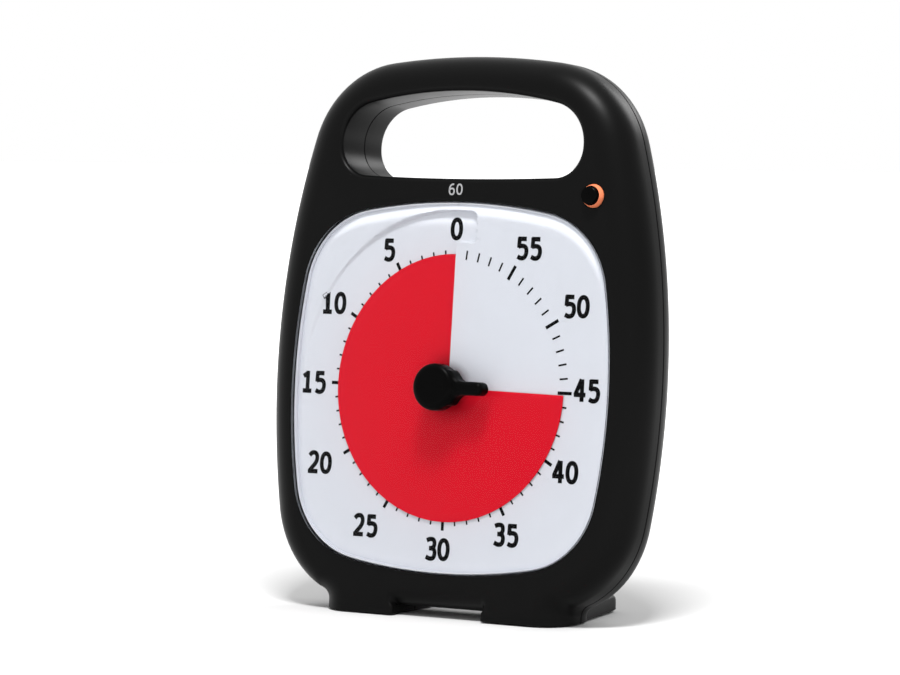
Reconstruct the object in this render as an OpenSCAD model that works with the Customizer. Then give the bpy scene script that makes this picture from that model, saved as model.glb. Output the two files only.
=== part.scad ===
// Visual countdown timer, sixty minutes: a red disc shrinks clockwise as time runs out.
// Millimetres. The timer stands on z = 0, faces -y and leans back on its two feet.
// Most parts are drawn in the dial's own frame: x to the right, y back from the front face
// and z up from the dial's centre. stand() then leans that frame back on the feet.

/* [Lens and dial] */
// Width and height of the clear lens
lens_w = 116.8; // [112:0.2:124]
// Radius of the lens's corners
lens_corner_r = 27; // [22:1:32]
// Radius of the bow of the lens's four sides
lens_side_r = 190; // [150:10:400]
// Thickness of the lens, which stands out of the housing by as much
lens_t = 1.2; // [1:0.1:1.2]
// Width of the flange that holds the lens behind the housing
lens_flange = 1; // [0.8:0.1:1.1]
// Radius of the red disc
disc_r = 42; // [38:0.5:43]
// Thickness of the red disc
disc_t = 0.2; // [0.15:0.05:0.25]
// Axial pitch of the dial's ramp over one turn
ramp_pitch = 1.6; // [1.5:0.1:1.8]
// Thickness of the dial plate
dial_t = 0.6; // [0.5:0.05:0.6]
// Depth of the dial's highest point behind the front face
dial_depth = 0.9; // [0.8:0.05:1]
// Radius at which the ramp's step meets the dial's outer field
recess_r = 53.6; // [52:0.2:53.8]

/* [Housing] */
// Width of the housing's frame beside the lens
rim_w = 11.3; // [10.8:0.1:18]
// Height of the bridge between the lens and the handle opening
bridge_h = 7.2; // [6.6:0.1:12]
// Height of the housing below the lens
chin_h = 10.6; // [9.5:0.1:14]
// Width of the handle opening
hole_w = 89; // [80:0.5:92]
// Height of the handle opening
hole_h = 27; // [24:0.5:40]
// Height of the handle bar above its opening
bar_h = 12; // [11:0.5:16]
// Depth of the housing from front face to back face
body_d = 24.5; // [24.5:0.1:30]
// Depth of the front housing, to the parting line
split_y = 13.4; // [13:0.1:13.6]
// Wall thickness of the housing
wall = 2.2; // [1.8:0.1:2.4]
// Edge radius along the housing's sides
edge_side = 10.5; // [8:0.5:10.5]
// Edge radius along the top of the handle
edge_top = 9; // [6:0.5:10]
// Edge radius along the bottom between the feet
edge_bottom = 6; // [4:0.5:8]
// Edge radius of the handle opening
hole_edge = 1.6; // [1:0.1:1.8]
// Radius of the groove's chamfer at the parting line
part_line = 0.35; // [0.2:0.05:0.5]

/* [Feet] */
// Angle by which the timer leans back
lean = 5.5; // [3:0.5:8]
// Height of the arch between the feet
foot_h = 3.5; // [3:0.5:8]
// Distance from the middle to the inner side of a foot
foot_in = 16.2; // [12:0.2:20]
// Distance from the middle to the outer side of a foot
foot_out = 45; // [40:0.5:48]
// Distance from the middle to the outer side of a heel
heel_out = 39.5; // [34:0.5:44]
// Height of the heels that run back from the feet
heel_h = 5.8; // [5:0.1:8]
// Length of a foot from its toe to the end of its heel
foot_d = 49; // [44:0.5:56]
// Diameter of the rubber pads
pad_d = 9; // [6:0.5:11]
// Height that a pad stands out of its foot
pad_proud = 0.5; // [0.3:0.1:1]

/* [Set knob] */
// Diameter of the knob's front face
knob_d = 13.4; // [12:0.1:15]
// Diameter of the knob's base, in front of the lens
knob_base_d = 12; // [11:0.1:13]
// How far the knob stands out of the front face
knob_h = 8.5; // [6:0.1:9]
// Reach of the pointer from the dial's centre
pointer_l = 17.2; // [14:0.1:24]
// Width of the pointer at its tip
pointer_w = 4.3; // [3:0.1:6]
// Depth of the pointer
pointer_t = 5; // [3:0.1:6]
// Diameter of the centre shaft
shaft_d = 5; // [4:0.1:6]
// Minutes shown at rest
minutes = 45; // [1:1:59]

/* [Volume dial] */
// Diameter of the volume cap
volume_d = 6.6; // [5:0.1:8]
// How far the volume cap stands out of the front face
volume_h = 3.2; // [2:0.1:5]
// Diameter of the orange ring round the cap
volume_ring_d = 8.2; // [7:0.1:10]

/* [Battery] */
// Diameter of the battery cell
cell_d = 14.3; // [13.5:0.1:14.5]
// Length of the battery cell with its button
cell_l = 50.4; // [48:0.1:50.5]
// Thickness of the battery door
door_t = 1.8; // [1.4:0.1:2]

/* [Movement] */
// Width and height of the movement's case
case_w = 56; // [54:0.5:60]
// Depth of the movement's case
case_d = 14.6; // [14.4:0.1:15]
// Wall thickness of the movement's case
case_wall = 1.2; // [1:0.1:1.4]
// Module of the gear teeth
tooth_module = 0.3; // [0.28:0.01:0.32]
// Thickness of a wheel
wheel_t = 0.8; // [0.6:0.1:1]
// Diameter of the wheels' arbors
arbor_d = 1; // [0.8:0.1:1.2]

/* [Screws] */
// Diameter of the housing screws
screw_d = 2.6; // [2:0.1:3]
// Diameter of the housing screws' heads
screw_head_d = 5; // [4:0.1:5.4]
// Diameter of the small screws inside
small_screw_d = 1.8; // [1.4:0.1:2]
// Wall round a screw boss
boss_wall = 1.6; // [1.2:0.1:2]

/* [Clearances] */
// Gap between parts that are fitted together
fit_gap = 0.15; // [0.1:0.05:0.2]
// Radial gap of a turning shaft in its bearing
run_gap = 0.05; // [0.03:0.01:0.08]
// Air between moving parts
air_gap = 0.4; // [0.3:0.05:0.5]

/* [Hidden] */
$fn = 48;
max_turn = 12;     // degrees between neighbouring points of an outline
max_chord = 12;    // longest side of an outline
sink = 0.05;       // how far a blended form stays behind the face it runs into
eps = 0.01;

// Outline of the body, all radii in the front plane
bridge_z = lens_w/2 + bridge_h;
hole_top = bridge_z + hole_h;
body_w = lens_w + 2*rim_w;
body_top = hole_top + bar_h;
body_bottom = lens_w/2 + chin_h;
floor_z = body_bottom + foot_h;
centre_h = floor_z*cos(lean);
wide_z = 3.7;
top_crown_r = 250;
top_corner_r = 34;
side_r = 265;
bottom_corner_r = 34;
bottom_crown_r = 1200;
lip_t = 2.6;                 // wall round the handle opening

// Stack behind the front face
ramp_back = dial_depth + ramp_pitch;             // lowest point of the dial's ramp
film_gap = 0.3;                                  // disc over the ramp
dial_back = ramp_back + dial_t;
disc_back = ramp_back + ramp_pitch - film_gap;   // rearmost reach of the disc
case_y = disc_back + 1.2;
case_back = case_y + case_d;
case_split = case_y + case_wall + 2;
plate_y = body_d - wall;                         // inner face of the back
cell_y = body_d - door_t - 0.5 - cell_d/2;
knob_front = -knob_h;
knob_neck_d = 8.4;                               // where the knob passes through the lens
lens_front = -lens_t;
flange_t = 1.1;
seat_y = wall + flange_t + 0.1;                  // where the dial's flange begins
seat_t = 1.2;

// Battery bay below the movement
door_w = 60;
door_z0 = -body_bottom + 11;
door_z1 = door_z0 + cell_d + 5;
bay_z = (door_z0 + door_z1)/2;
bay_w = cell_l + 6;
bay_h = cell_d + 1.6;
bay_wall = 1.4;
bay_y = cell_y - cell_d/2 - 0.3;
door_y = body_d - door_t - fit_gap;              // what the battery door rests on
tab_w = 10;
tab_h = 6.4;
tab_z = door_z1 + tab_h/2 - 0.4;

// Screws: places in the dial's frame, as [x, z]
side_screw_z = lens_w/2 - 14.4;
housing_screws = [for (s = [-1, 1]) each [
    [s*(body_w/2 - 18.4), hole_top - 12.6],
    [s*(lens_w/2 + 0.1), side_screw_z],
    [s*(lens_w/2 - 2), -side_screw_z]]];
dial_screws = [for (s = [-1, 1], t = [-1, 1]) [s*(lens_w/2 - 7.6), t*(lens_w/2 - 7.2)]];
case_screws = [for (s = [-1, 1]) [s*(case_w/2 - 4), s*(case_w/2 - 4)]];
board_screws = [for (z = [14, 38]) [lens_w/2 - 10.4, z]];
boss_r = screw_d/2 + boss_wall;
small_boss_r = small_screw_d/2 + boss_wall - 0.2;
boss_y = wall + 0.8;        // where the screw bosses begin behind a face
well_y = body_d - 7;        // seat of a housing screw's head

// Volume dial
volume_x = lens_w/2 - 8.9;
volume_z = lens_w/2 + 2.4;
pot_w = 9.4;
pot_t = 4.4;
board_y = 14;
board_t = 1.2;
board_x = [volume_x - 8, volume_x + pot_w/2 + 0.1];
board_z = [6, volume_z + 3.6];
pot_shaft_d = 3;

// Speaker
speaker_x = -48.5;
speaker_z = 8;
speaker_d = 20;
speaker_t = 4.2;

// Gear train: rotor, three wheels and the centre wheel
pinion_n = 8;
wheel_n = [40, 48, 48, 80];
stage = [for (n = wheel_n) (n + pinion_n)/2*tooth_module];
pivot_c = [0, 0];
pivot_3 = pivot_c + stage[3]*[cos(200), sin(200)];
pivot_2 = pivot_3 + stage[2]*[cos(260), sin(260)];
pivot_1 = pivot_2 + stage[1]*[cos(-20), sin(-20)];
pivot_r = pivot_1 + stage[0]*[cos(-10), sin(-10)];
level_c = case_y + case_wall + 1.7;
level_3 = level_c + 2.5;
level_2 = level_3 + 2.5;
level_1 = level_2 + 2.5;
train_front = case_y + case_wall;
train_back = case_back - case_wall;
stator_y = level_3;
coil_x = pivot_r[0] + 17.6;
coil_z = [-13, 7];
coil_d = 7.6;
core_w = 2.4;

rest_turn = minutes*6;      // the disc's leading edge, anticlockwise from zero

// ---------- outlines ----------

// Centre of a circle of radius r that touches two larger circles from inside
function touch(c1, r1, c2, r2, r) =
    let (a = r1 - r, b = r2 - r, d = c2 - c1, l = norm(d), e = d/l,
        x = (a*a - b*b + l*l)/(2*l),
        h = sqrt(max(a*a - x*x, 0)),
        p = c1 + x*e + h*[-e[1], e[0]],
        q = c1 + x*e - h*[-e[1], e[0]])
    p[0] > q[0] ? p : q;

function bearing(v) = atan2(v[1], v[0]);

// Points of an arc with their outward normals, as [x, z, nx, nz]
function arc(c, r, a0, a1) =
    let (n = ceil(max(abs(a1 - a0)/max_turn, abs(a1 - a0)*PI/180*r/max_chord)))
    [for (i = [0 : n - 1])
        let (a = a0 + (a1 - a0)*i/n) [c[0] + r*cos(a), c[1] + r*sin(a), cos(a), sin(a)]];

// A closed outline, the same left and right, made of arcs that run into each other:
// a crown along the top, a corner, a bowed side, a corner and a crown along the bottom
function outline(half, top, bottom, wide, crown, corner, side, low_corner, low_crown) =
    let (ct = [0, top - crown], cs = [half - side, wide], cb = [0, bottom + low_crown],
        c1 = touch(ct, crown, cs, side, corner),
        c2 = touch(cs, side, cb, low_crown, low_corner),
        a1 = bearing(c1 - ct), a2 = bearing(c1 - cs),
        a3 = bearing(c2 - cs), a4 = bearing(c2 - cb),
        right = concat(arc(ct, crown, 90, a1), arc(c1, corner, a1, a2),
            arc(cs, side, a2, a3), arc(c2, low_corner, a3, a4),
            arc(cb, low_crown, a4, -90)),
        last = [0, bottom, 0, -1])
    concat(right, [last], [for (i = [len(right) - 1 : -1 : 1])
        let (p = right[i]) [-p[0], p[1], -p[2], p[3]]]);

// Housing edge radius where the outline faces a direction
function edge_at(p) = edge_side*p[2]*p[2] + (p[3] > 0 ? edge_top : edge_bottom)*p[3]*p[3];

// Each point of the body's outline: x, z, its normal, its edge radius and 0
body_line = [for (p = outline(body_w/2, body_top, -body_bottom, wide_z, top_crown_r,
    top_corner_r, side_r, bottom_corner_r, bottom_crown_r)) [each p, edge_at(p), 0]];
lens_line = outline(lens_w/2, lens_w/2, -lens_w/2, 0, lens_side_r, lens_corner_r,
    lens_side_r, lens_corner_r, lens_side_r);
hole_mid = bridge_z + hole_h*0.47;
hole_line = outline(hole_w/2, hole_top, bridge_z, hole_mid, 124, 10.4, 60, 10, 900);

// The outline moved outwards by a distance, as flat points
function grown(line, d) = [for (p = line) [p[0] + d*p[2], p[1] + d*p[3]]];

// ---------- solids from rings of points ----------

function quads(n, rows, wrap) = [for (k = [0 : rows - (wrap ? 1 : 2)], i = [0 : n - 1])
    let (a = k*n + i, b = k*n + (i + 1)%n, c = (k + 1)%rows*n + (i + 1)%n,
        d = (k + 1)%rows*n + i)
    each [[a, b, c], [a, c, d]]];

// A polyhedron whose faces are all turned outwards, whichever way its points run
module solid(points, faces) {
    signed = [for (f = faces) 1]*[for (f = faces)
        points[f[0]]*cross(points[f[1]] - points[f[0]], points[f[2]] - points[f[0]])];
    polyhedron(points = points, convexity = 8,
        faces = signed > 0 ? [for (f = faces) [for (i = [len(f) - 1 : -1 : 0]) f[i]]] : faces);
}

function fan(first, n, dir) = [for (i = [1 : n - 2])
    dir > 0 ? [first, first + i, first + i + 1] : [first, first + i + 1, first + i]];

// Rings stacked one behind the other and closed by a flat face at each end
module stacked(rings) {
    n = len(rings[0]);
    m = len(rings);
    solid([for (ring = rings) each ring],
        concat(quads(n, m, false), fan(0, n, -1), fan((m - 1)*n, n, 1)));
}

// Rings that close on themselves, the last one running into the first
module hooped(rings) {
    solid([for (ring = rings) each ring], quads(len(rings[0]), len(rings), true));
}

// The outline moved in and back. Each step is [i0, i1, y0, y1]: it lies i0 + i1*r in from
// the outline and y0 + y1*r back, where r is the edge radius of that point. The soles of the
// feet stay level with the floor while the housing leans.
function moved(line, steps) = [for (s = steps) [for (p = line)
    let (inset = s[0] + s[1]*p[4], y = s[2] + s[3]*p[4])
    [p[0] - inset*p[2], y, p[1] - inset*p[3] + p[5]*y*tan(lean)]]];

// A flat shape given a depth, from y0 back to y1
module slab(y0, y1) {
    translate([0, y1, 0]) rotate([90, 0, 0]) linear_extrude(y1 - y0) children();
}

// A round bar along y at [x, z]
module rod(at, y0, y1, d) {
    translate([at[0], y1, at[1]]) rotate([90, 0, 0]) cylinder(h = y1 - y0, d = d);
}

// The dial's frame, leaned back with its feet on the floor and its box about the middle
toe = -floor_z*sin(lean);
knob_reach = knob_h*cos(lean) + (knob_d/2 - 1.4)*sin(lean);
shift = -(min(toe, -knob_reach) + toe + foot_d)/2;
module stand() {
    translate([0, shift, centre_h]) rotate([-lean, 0, 0]) children();
}

// ---------- housing ----------

// A ring of a lip round the handle opening, d out from it
function lip(d, y) = [for (p = hole_line) [p[0] + d*p[2], y, p[1] + d*p[3]]];

// The wall of the handle opening from a face to the parting line, with a rounded lip
module hole_wall(face, dir) {
    steps = 3;
    hooped(concat([lip(lip_t - 0.3, face + dir*0.03)],
        [for (i = [0 : steps]) let (t = 90*i/steps)
            lip(hole_edge*(1 - sin(t)), face + dir*(0.02 + hole_edge*(1 - cos(t))))],
        [lip(0, split_y), lip(lip_t, split_y), lip(lip_t, face + dir*0.4)]));
}

// The rounded rim with its feet, a hoop from the edge of a face to the parting line
module rim(face, dir) {
    steps = 5;
    room = 3;
    hooped(concat(
        moved(foot_line, concat([for (i = [0 : steps]) let (a = 90*i/steps)
            [0, 1 - sin(a), face + dir*0.02, dir*(1 - cos(a))]],
            [[0, 0, split_y - dir*part_line, 0], [part_line, 0, split_y, 0]])),
        moved(room_line, concat([[wall, 0, split_y, 0]],
            [for (i = [room : -1 : 0]) let (a = 90*i/room)
                [wall*sin(a), 1 - sin(a), face + dir*(wall*cos(a) - 0.02*(1 - sin(a))),
                    dir*(1 - cos(a))]],
            [[0.3, 1, face + dir*(wall - 0.5), 0], [0.3, 1, face + dir*0.5, 0]]))));
}

// The flat part of a face, a little wider than the edge of the rim. Its feet end above the
// sole at depth y.
module face_plan(y) {
    over = 0.3;
    foot_end = sole_z + 0.5 + y*tan(lean);
    flat = [for (p = foot_line) [p[0] - (p[4] - over)*p[2],
        p[5] > 0 ? foot_end : p[1] - (p[4] - over)*p[3]]];
    difference() {
        polygon([for (p = flat) if (p[1] >= foot_end) p]);
        polygon(grown(hole_line, lip_t - 0.6));
    }
}

leg_fillet = 4;              // hollow between the body's side and a foot
arch_fillet = 0.4;           // hollow between a foot and the arch
foot_edge = 1.2;             // edge radius on a foot's inner side
hollow_steps = 4;
corner_c = touch([body_w/2 - side_r, wide_z], side_r,
    [0, -body_bottom + bottom_crown_r], bottom_crown_r, bottom_corner_r);
leg_c = let (reach = bottom_corner_r + leg_fillet, x = foot_out + leg_fillet)
    [x, corner_c[1] - sqrt(pow(reach, 2) - pow(x - corner_c[0], 2))];
leg_turn = bearing(leg_c - corner_c);

// A hollow arc, with normals that point to its centre and both ends included
function hollow(c, r, a0, a1) = [for (i = [0 : hollow_steps])
    let (a = a0 + (a1 - a0)*i/hollow_steps)
    [c[0] + r*cos(a), c[1] + r*sin(a), -cos(a), -sin(a)]];

// Right half of the outline with a foot: down the body's side into the foot, along its sole
// and up into the arch
sole_z = -floor_z + pad_proud/cos(lean);
foot_half = let (
        crown_c = [0, body_top - top_crown_r], side_c = [body_w/2 - side_r, wide_z],
        top_c = touch(crown_c, top_crown_r, side_c, side_r, top_corner_r),
        a1 = bearing(top_c - crown_c), a2 = bearing(top_c - side_c),
        a3 = bearing(corner_c - side_c),
        body = concat(arc(crown_c, top_crown_r, 90, a1), arc(top_c, top_corner_r, a1, a2),
            arc(side_c, side_r, a2, a3), arc(corner_c, bottom_corner_r, a3, leg_turn)),
        outer = hollow(leg_c, leg_fillet, leg_turn + 180, 180),
        inner = hollow([foot_in - arch_fillet, -body_bottom - arch_fillet], arch_fillet, 0, 90))
    concat([for (p = concat(body, outer)) [each p, edge_at(p), 0]],
        [[foot_out, sole_z, 1, 0, edge_side, 1], [foot_in, sole_z, -1, 0, foot_edge, 1]],
        [for (p = inner) [each p, foot_edge + (edge_bottom - foot_edge)*p[3]*p[3], 0]]);
foot_line = concat(foot_half, [for (i = [len(foot_half) - 1 : -1 : 1])
    let (p = foot_half[i]) [-p[0], p[1], -p[2], p[3], p[4], p[5]]]);

// Right half of the body's own outline, point for point beside the one with a foot
room_half = let (
        rungs = hollow_steps + 2, same = len(foot_half) - 2*rungs,
        low_c = [0, -body_bottom + bottom_crown_r], a4 = bearing(corner_c - low_c),
        a5 = -90 + asin(foot_in/bottom_crown_r),
        corner = [for (i = [0 : rungs - 1]) let (a = leg_turn + (a4 - leg_turn)*i/rungs)
            [corner_c[0] + bottom_corner_r*cos(a), corner_c[1] + bottom_corner_r*sin(a),
                cos(a), sin(a)]],
        low = [for (i = [0 : rungs - 1]) let (a = a4 + (a5 - a4)*i/(rungs - 1))
            [low_c[0] + bottom_crown_r*cos(a), low_c[1] + bottom_crown_r*sin(a),
                cos(a), sin(a)]])
    concat([for (i = [0 : same - 1]) foot_half[i]],
        [for (p = concat(corner, low)) [each p, edge_at(p), 0]]);
room_line = concat(room_half, [for (i = [len(room_half) - 1 : -1 : 1])
    let (p = room_half[i]) [-p[0], p[1], -p[2], p[3], p[4], p[5]]]);

step_in = 0.3;               // how far a heel stands in from its foot's sides
heel_r = 6;                  // corner radius of a heel's end
heel_edge = 1.8;             // edge radius along a heel's top

// Plan of a heel in the floor's frame: straight inside, tapering outside
function heel_plan(sx, d) = let (r = heel_r, y0 = split_y + 4.5, y1 = foot_d, turn = 5)
    let (corner = concat([[foot_out - 1.2, y0]],
        [for (i = [0 : turn]) let (t = 90*i/turn)
            [heel_out - r*(1 - cos(t)), y1 - r*(1 - sin(t))]],
        [for (i = [0 : turn]) let (t = 90*i/turn)
            [foot_in + step_in + r*(1 - sin(t)), y1 - r*(1 - cos(t))]],
        [[foot_in + step_in, y0]]),
        mid = [(foot_in + heel_out)/2, (y0 + y1)/2],
        half = [(heel_out - foot_in)/2, (y1 - y0)/2])
    [for (p = corner) let (u = [(p[0] - mid[0])*(1 - d/half[0]) + mid[0],
        (p[1] - mid[1])*(1 - d/half[1]) + mid[1]]) [sx*u[0], u[1]]];

// One heel, flat on the floor behind its leg
module heel(sx) {
    steps = 3;
    levels = concat([[0.5, pad_proud - step_in], [0, pad_proud + 0.4]],
        [for (i = [0 : steps]) let (t = 90*i/steps)
            [heel_edge*(1 - cos(t)), heel_h - heel_edge*(1 - sin(t))]]);
    rings = [for (l = levels) [for (p = heel_plan(sx, l[0])) [p[0], p[1], l[1]]]];
    stacked(rings);
}

pad_x = (foot_in + heel_out)/2;
pad_y = [7.6, foot_d - 8];
pad_t = 1.5;

// Places of the four pads
module at_pads() {
    for (sx = [-1, 1], y = pad_y) translate([sx*pad_x, shift + toe + y, 0]) children();
}

module pad_recesses() {
    at_pads() translate([0, 0, -1]) cylinder(h = pad_t + 1 + fit_gap, d = pad_d + 2*fit_gap);
}

// Everything of the front housing that is drawn in the dial's frame
module front_shell() {
    difference() {
        union() {
            slab(0, wall) difference() {
                face_plan(wall);
                polygon(grown(lens_line, fit_gap));
            }
            rim(0, 1);
            hole_wall(0, 1);
            for (p = housing_screws) rod(p, boss_y, split_y - sink, 2*boss_r);
            for (p = dial_screws) rod(p, wall/2, seat_y, 2*small_boss_r);
        }
        rod([volume_x, volume_z], -1, wall + 1, pot_shaft_d + 2*run_gap);
        rod([volume_x, volume_z], -1, 0.8, volume_ring_d + 2*fit_gap);
        for (p = housing_screws) rod(p, boss_y + 1.2, split_y + 1, screw_d);
        for (p = dial_screws) rod(p, wall - 0.8, dial_back + 2, small_screw_d);
    }
}

module front_housing() {
    color("#1d1e20") difference() {
        stand() front_shell();
        pad_recesses();
    }
}

// Sound slots over the speaker
module sound_slots() {
    pitch = 3;
    for (i = [-2 : 2])
        let (half = sqrt(pow(speaker_d/2 - 2, 2) - pow(i*pitch, 2)))
        translate([speaker_x - half, speaker_z + i*pitch - 0.6]) square([2*half, 1.2]);
}

module rear_shell() {
    difference() {
        union() {
            slab(plate_y, body_d) difference() {
                face_plan(body_d);
                door_shape(fit_gap);
                sound_slots();
            }
            rim(body_d, -1);
            hole_wall(body_d, -1);
            for (p = housing_screws) rod(p, split_y + sink, body_d - boss_y - 0.3, 2*boss_r + 2.4);
            for (p = board_screws) rod(p, board_y + board_t, plate_y + 1, 2*small_boss_r);
            for (p = case_screws) rod(p, case_back, plate_y + 1, 2*small_boss_r);
            difference() {
                rod([speaker_x, speaker_z], plate_y - speaker_t, plate_y + 0.5,
                    speaker_d + 2.4);
                rod([speaker_x, speaker_z], plate_y - speaker_t - 1, plate_y + 1,
                    speaker_d + 2*fit_gap);
            }
            difference() {
                union() {
                    slab(bay_y - bay_wall, plate_y) bay_plan(bay_wall);
                    slab(plate_y - bay_wall, door_y) door_shape(1.6);
                    rod([0, tab_z], door_y - 5.5, plate_y, 5.2);
                }
                slab(bay_y, body_d + 1) bay_plan(0);
            }
        }
        rod([0, tab_z], door_y - 4.6, body_d, small_screw_d);
        for (p = case_screws) rod(p, case_back - 1, plate_y + 1.2, small_screw_d);
        for (p = board_screws) rod(p, board_y, plate_y + 0.6, small_screw_d);
        for (p = housing_screws) {
            rod(p, well_y, body_d + 1, screw_head_d + 4*fit_gap);
            rod(p, split_y - 1, body_d, screw_d + 2*fit_gap);
        }
    }
}

// Plan of the battery bay
module bay_plan(d) {
    translate([-bay_w/2 - d, bay_z - bay_h/2 - d]) square([bay_w + 2*d, bay_h + 2*d]);
}

module rear_housing() {
    color("#1d1e20") difference() {
        union() {
            stand() rear_shell();
            translate([0, shift + toe, 0]) for (sx = [-1, 1]) heel(sx);
        }
        pad_recesses();
    }
}

module foot_pads() {
    color("#111111") at_pads() cylinder(h = pad_t, d = pad_d);
}

// ---------- lens and dial ----------

lens_hole_d = knob_neck_d + 2*air_gap;

module clear_lens() {
    bevel = 0.9;
    skirt = 1.2;
    color([0.9, 0.95, 1, 0.35]) stand() difference() {
        union() {
            stacked([for (l = [[bevel, lens_front], [bevel*0.3, lens_front + bevel*0.3],
                [0, lens_front + bevel], [0, wall + 0.3]])
                [for (p = lens_line) [p[0] - l[0]*p[2], l[1], p[1] - l[0]*p[3]]]]);
            slab(wall + 0.05, wall + flange_t) polygon(grown(lens_line, lens_flange));
        }
        slab(lens_front + lens_t, wall + flange_t + 1) polygon(grown(lens_line, -skirt));
        rod([0, 0], lens_front - 1, lens_front + lens_t + 1, lens_hole_d);
    }
}

// Depth of the ramp at an angle anticlockwise from zero
function ramp_y(a) = ramp_back - ramp_pitch*a/360;

// A point at a radius and an angle anticlockwise from the top
function polar(r, a, y) = [-r*sin(a), y, r*cos(a)];

slit_r = disc_r + 3;
dial_hole_r = 8;
ramp_step = 7.5;

// Part of a helical ramp between two radii, with its ends closed
module helix_sheet(r0, r1, a0, a1, lift, t) {
    n = ceil((a1 - a0)/ramp_step);
    ring = function (a) [polar(r0, a, ramp_y(a) - lift), polar(r1, a, ramp_y(a) - lift),
        polar(r1, a, ramp_y(a) - lift + t), polar(r0, a, ramp_y(a) - lift + t)];
    stacked([for (i = [0 : n]) ring(a0 + (a1 - a0)*i/n)]);
}

pocket_a = 6.5;             // how far the pocket runs past zero
ramp_end = 90;              // where the recess runs out into the field
rim_in = 1.35;              // the dial's edge inside the lens's outline
rim_t = 1;
field_line = grown(lens_line, -rim_in - 0.2);

// Where a ray from the centre at angle a meets the edge of the field
function field_r(a) =
    let (s = [-sin(a), cos(a)], n = len(field_line),
        hits = [for (i = [0 : n - 1])
            let (p = field_line[i], d = field_line[(i + 1)%n] - p, k = s[0]*d[1] - s[1]*d[0],
                u = (p[0]*d[1] - p[1]*d[0])/k, v = (p[0]*s[1] - p[1]*s[0])/k)
            if (u > 0 && v >= -eps && v <= 1 + eps) u])
    max(hits);

// Depth of the dial's outer field, which meets the ramp where the recess runs out
function field_y(a) = a < ramp_end
    ? ramp_y(360) + ramp_pitch*(1 - ramp_end/360)*max(a, 0)/ramp_end : ramp_y(a);

// The field outside the slit, with the pocket that holds the zero
module dial_field() {
    turns = concat([-pocket_a, -pocket_a + 0.9, -3], [for (a = [0 : ramp_step : 345]) a],
        [350]);
    ring = function (a) let (
            in_recess = a > -pocket_a,
            low = in_recess ? ramp_y(max(a, 0)) : ramp_y(360),
            edge = recess_r + 1.2*max(0, min(a, ramp_end))/ramp_end)
        [polar(slit_r - 0.5, a, low), polar(edge, a, low), polar(edge + 0.8, a, field_y(a)),
            polar(field_r(a), a, field_y(a)), polar(field_r(a), a, dial_back - sink),
            polar(slit_r - 0.5, a, dial_back - sink)];
    hooped([for (a = turns) ring(a)]);
}

module dial_plate() {
    color("#dadde6") stand() {
        helix_sheet(dial_hole_r, slit_r, 0.4, 359.6, -sink, dial_t);
        dial_field();
        slab(dial_back - 0.4, seat_y + 0.5) difference() {
            polygon(grown(lens_line, -rim_in));
            polygon(grown(lens_line, -rim_in - rim_t));
        }
        slab(seat_y, seat_y + seat_t) difference() {
            union() {
                polygon(grown(lens_line, lens_flange));
                for (p = dial_screws) translate(p) circle(d = 2*small_boss_r + 3);
            }
            polygon(grown(lens_line, -rim_in - rim_t - 0.3));
            for (p = dial_screws) translate(p) circle(d = small_screw_d + 2*fit_gap);
        }
    }
}

hub_r = 6;
hub_bore = shaft_d + 2*run_gap;

module red_disc() {
    color("#d62030") stand() helix_sheet(hub_r, disc_r, rest_turn - 359, rest_turn - 1,
        film_gap + disc_t, disc_t);
}

module disc_hub() {
    y1 = ramp_y(rest_turn - 360) - film_gap + 0.2;
    y0 = ramp_y(rest_turn) - film_gap - disc_t - 0.2;
    color("#d62030") stand() difference() {
        rod([0, 0], y0, y1, 2*hub_r - 0.1);
        rod([0, 0], y0 - 1, y1 + 1, hub_bore);
    }
}

module dial_screws() {
    color("silver") stand() for (p = dial_screws) screw(p, seat_y + seat_t, wall - 0.6,
        small_screw_d, 3.4);
}

// A pan-head screw driven towards the front, its head seated at y
module screw(at, y, tip, d, head) {
    recess = head*0.42;
    difference() {
        union() {
            rod(at, tip, y + eps, d - 0.04);
            rod(at, y, y + head*0.36, head);
        }
        for (a = [0, 90]) translate([at[0], y + head*0.2, at[1]]) rotate([0, a, 0])
            translate([-recess/2, 0, -head*0.06]) cube([recess, head, head*0.12]);
    }
}

// ---------- knob and shaft ----------

knob_back = -0.2;

module set_knob() {
    base_h = air_gap - lens_front;
    color("#17181a") stand() difference() {
        union() {
            rotate([90, 0, 0]) rotate_extrude() polygon([[0, -knob_back],
                [knob_neck_d/2, -knob_back], [knob_neck_d/2, base_h],
                [knob_base_d/2 - 0.5, base_h], [knob_base_d/2, base_h + 0.5],
                [knob_d/2 + 0.2, base_h + 2.2], [knob_d/2 + 0.2, knob_h - 1.6],
                [knob_d/2 - 0.5, knob_h - 0.4], [knob_d/2 - 1.4, knob_h], [0, knob_h]]);
            rotate([0, 270 - rest_turn, 0]) slab(knob_front + 0.8, knob_front + 0.8 + pointer_t) {
                translate([0, -pointer_w/2]) square([pointer_l - pointer_w/2, pointer_w]);
                translate([pointer_l - pointer_w/2, 0]) circle(d = pointer_w);
            }
        }
        rod([0, 0], knob_front + 2, knob_back + 1, shaft_d);
    }
}

module centre_shaft() {
    shoulder = level_c + wheel_t;
    color("silver") stand() union() {
        rod([0, 0], knob_front + 2, shoulder + eps, shaft_d);
        rod([0, 0], level_c - 1.45, level_c - 1.05, shaft_d + 1.6);
        rod([0, 0], shoulder, shoulder + 1, shaft_d + 2);
        rod([0, 0], shoulder + 0.8, train_back + 0.6, 2);
    }
}

// Coned spring washer that presses the centre wheel against the shaft's shoulder
module clutch_spring() {
    color("goldenrod") stand() rotate([90, 0, 0]) rotate_extrude() polygon([
        [shaft_d/2 + 0.15, 1.05 - level_c], [5.5, 0.3 - level_c], [5.5, -level_c],
        [shaft_d/2 + 0.15, 0.75 - level_c]]);
}

// ---------- movement ----------

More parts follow.
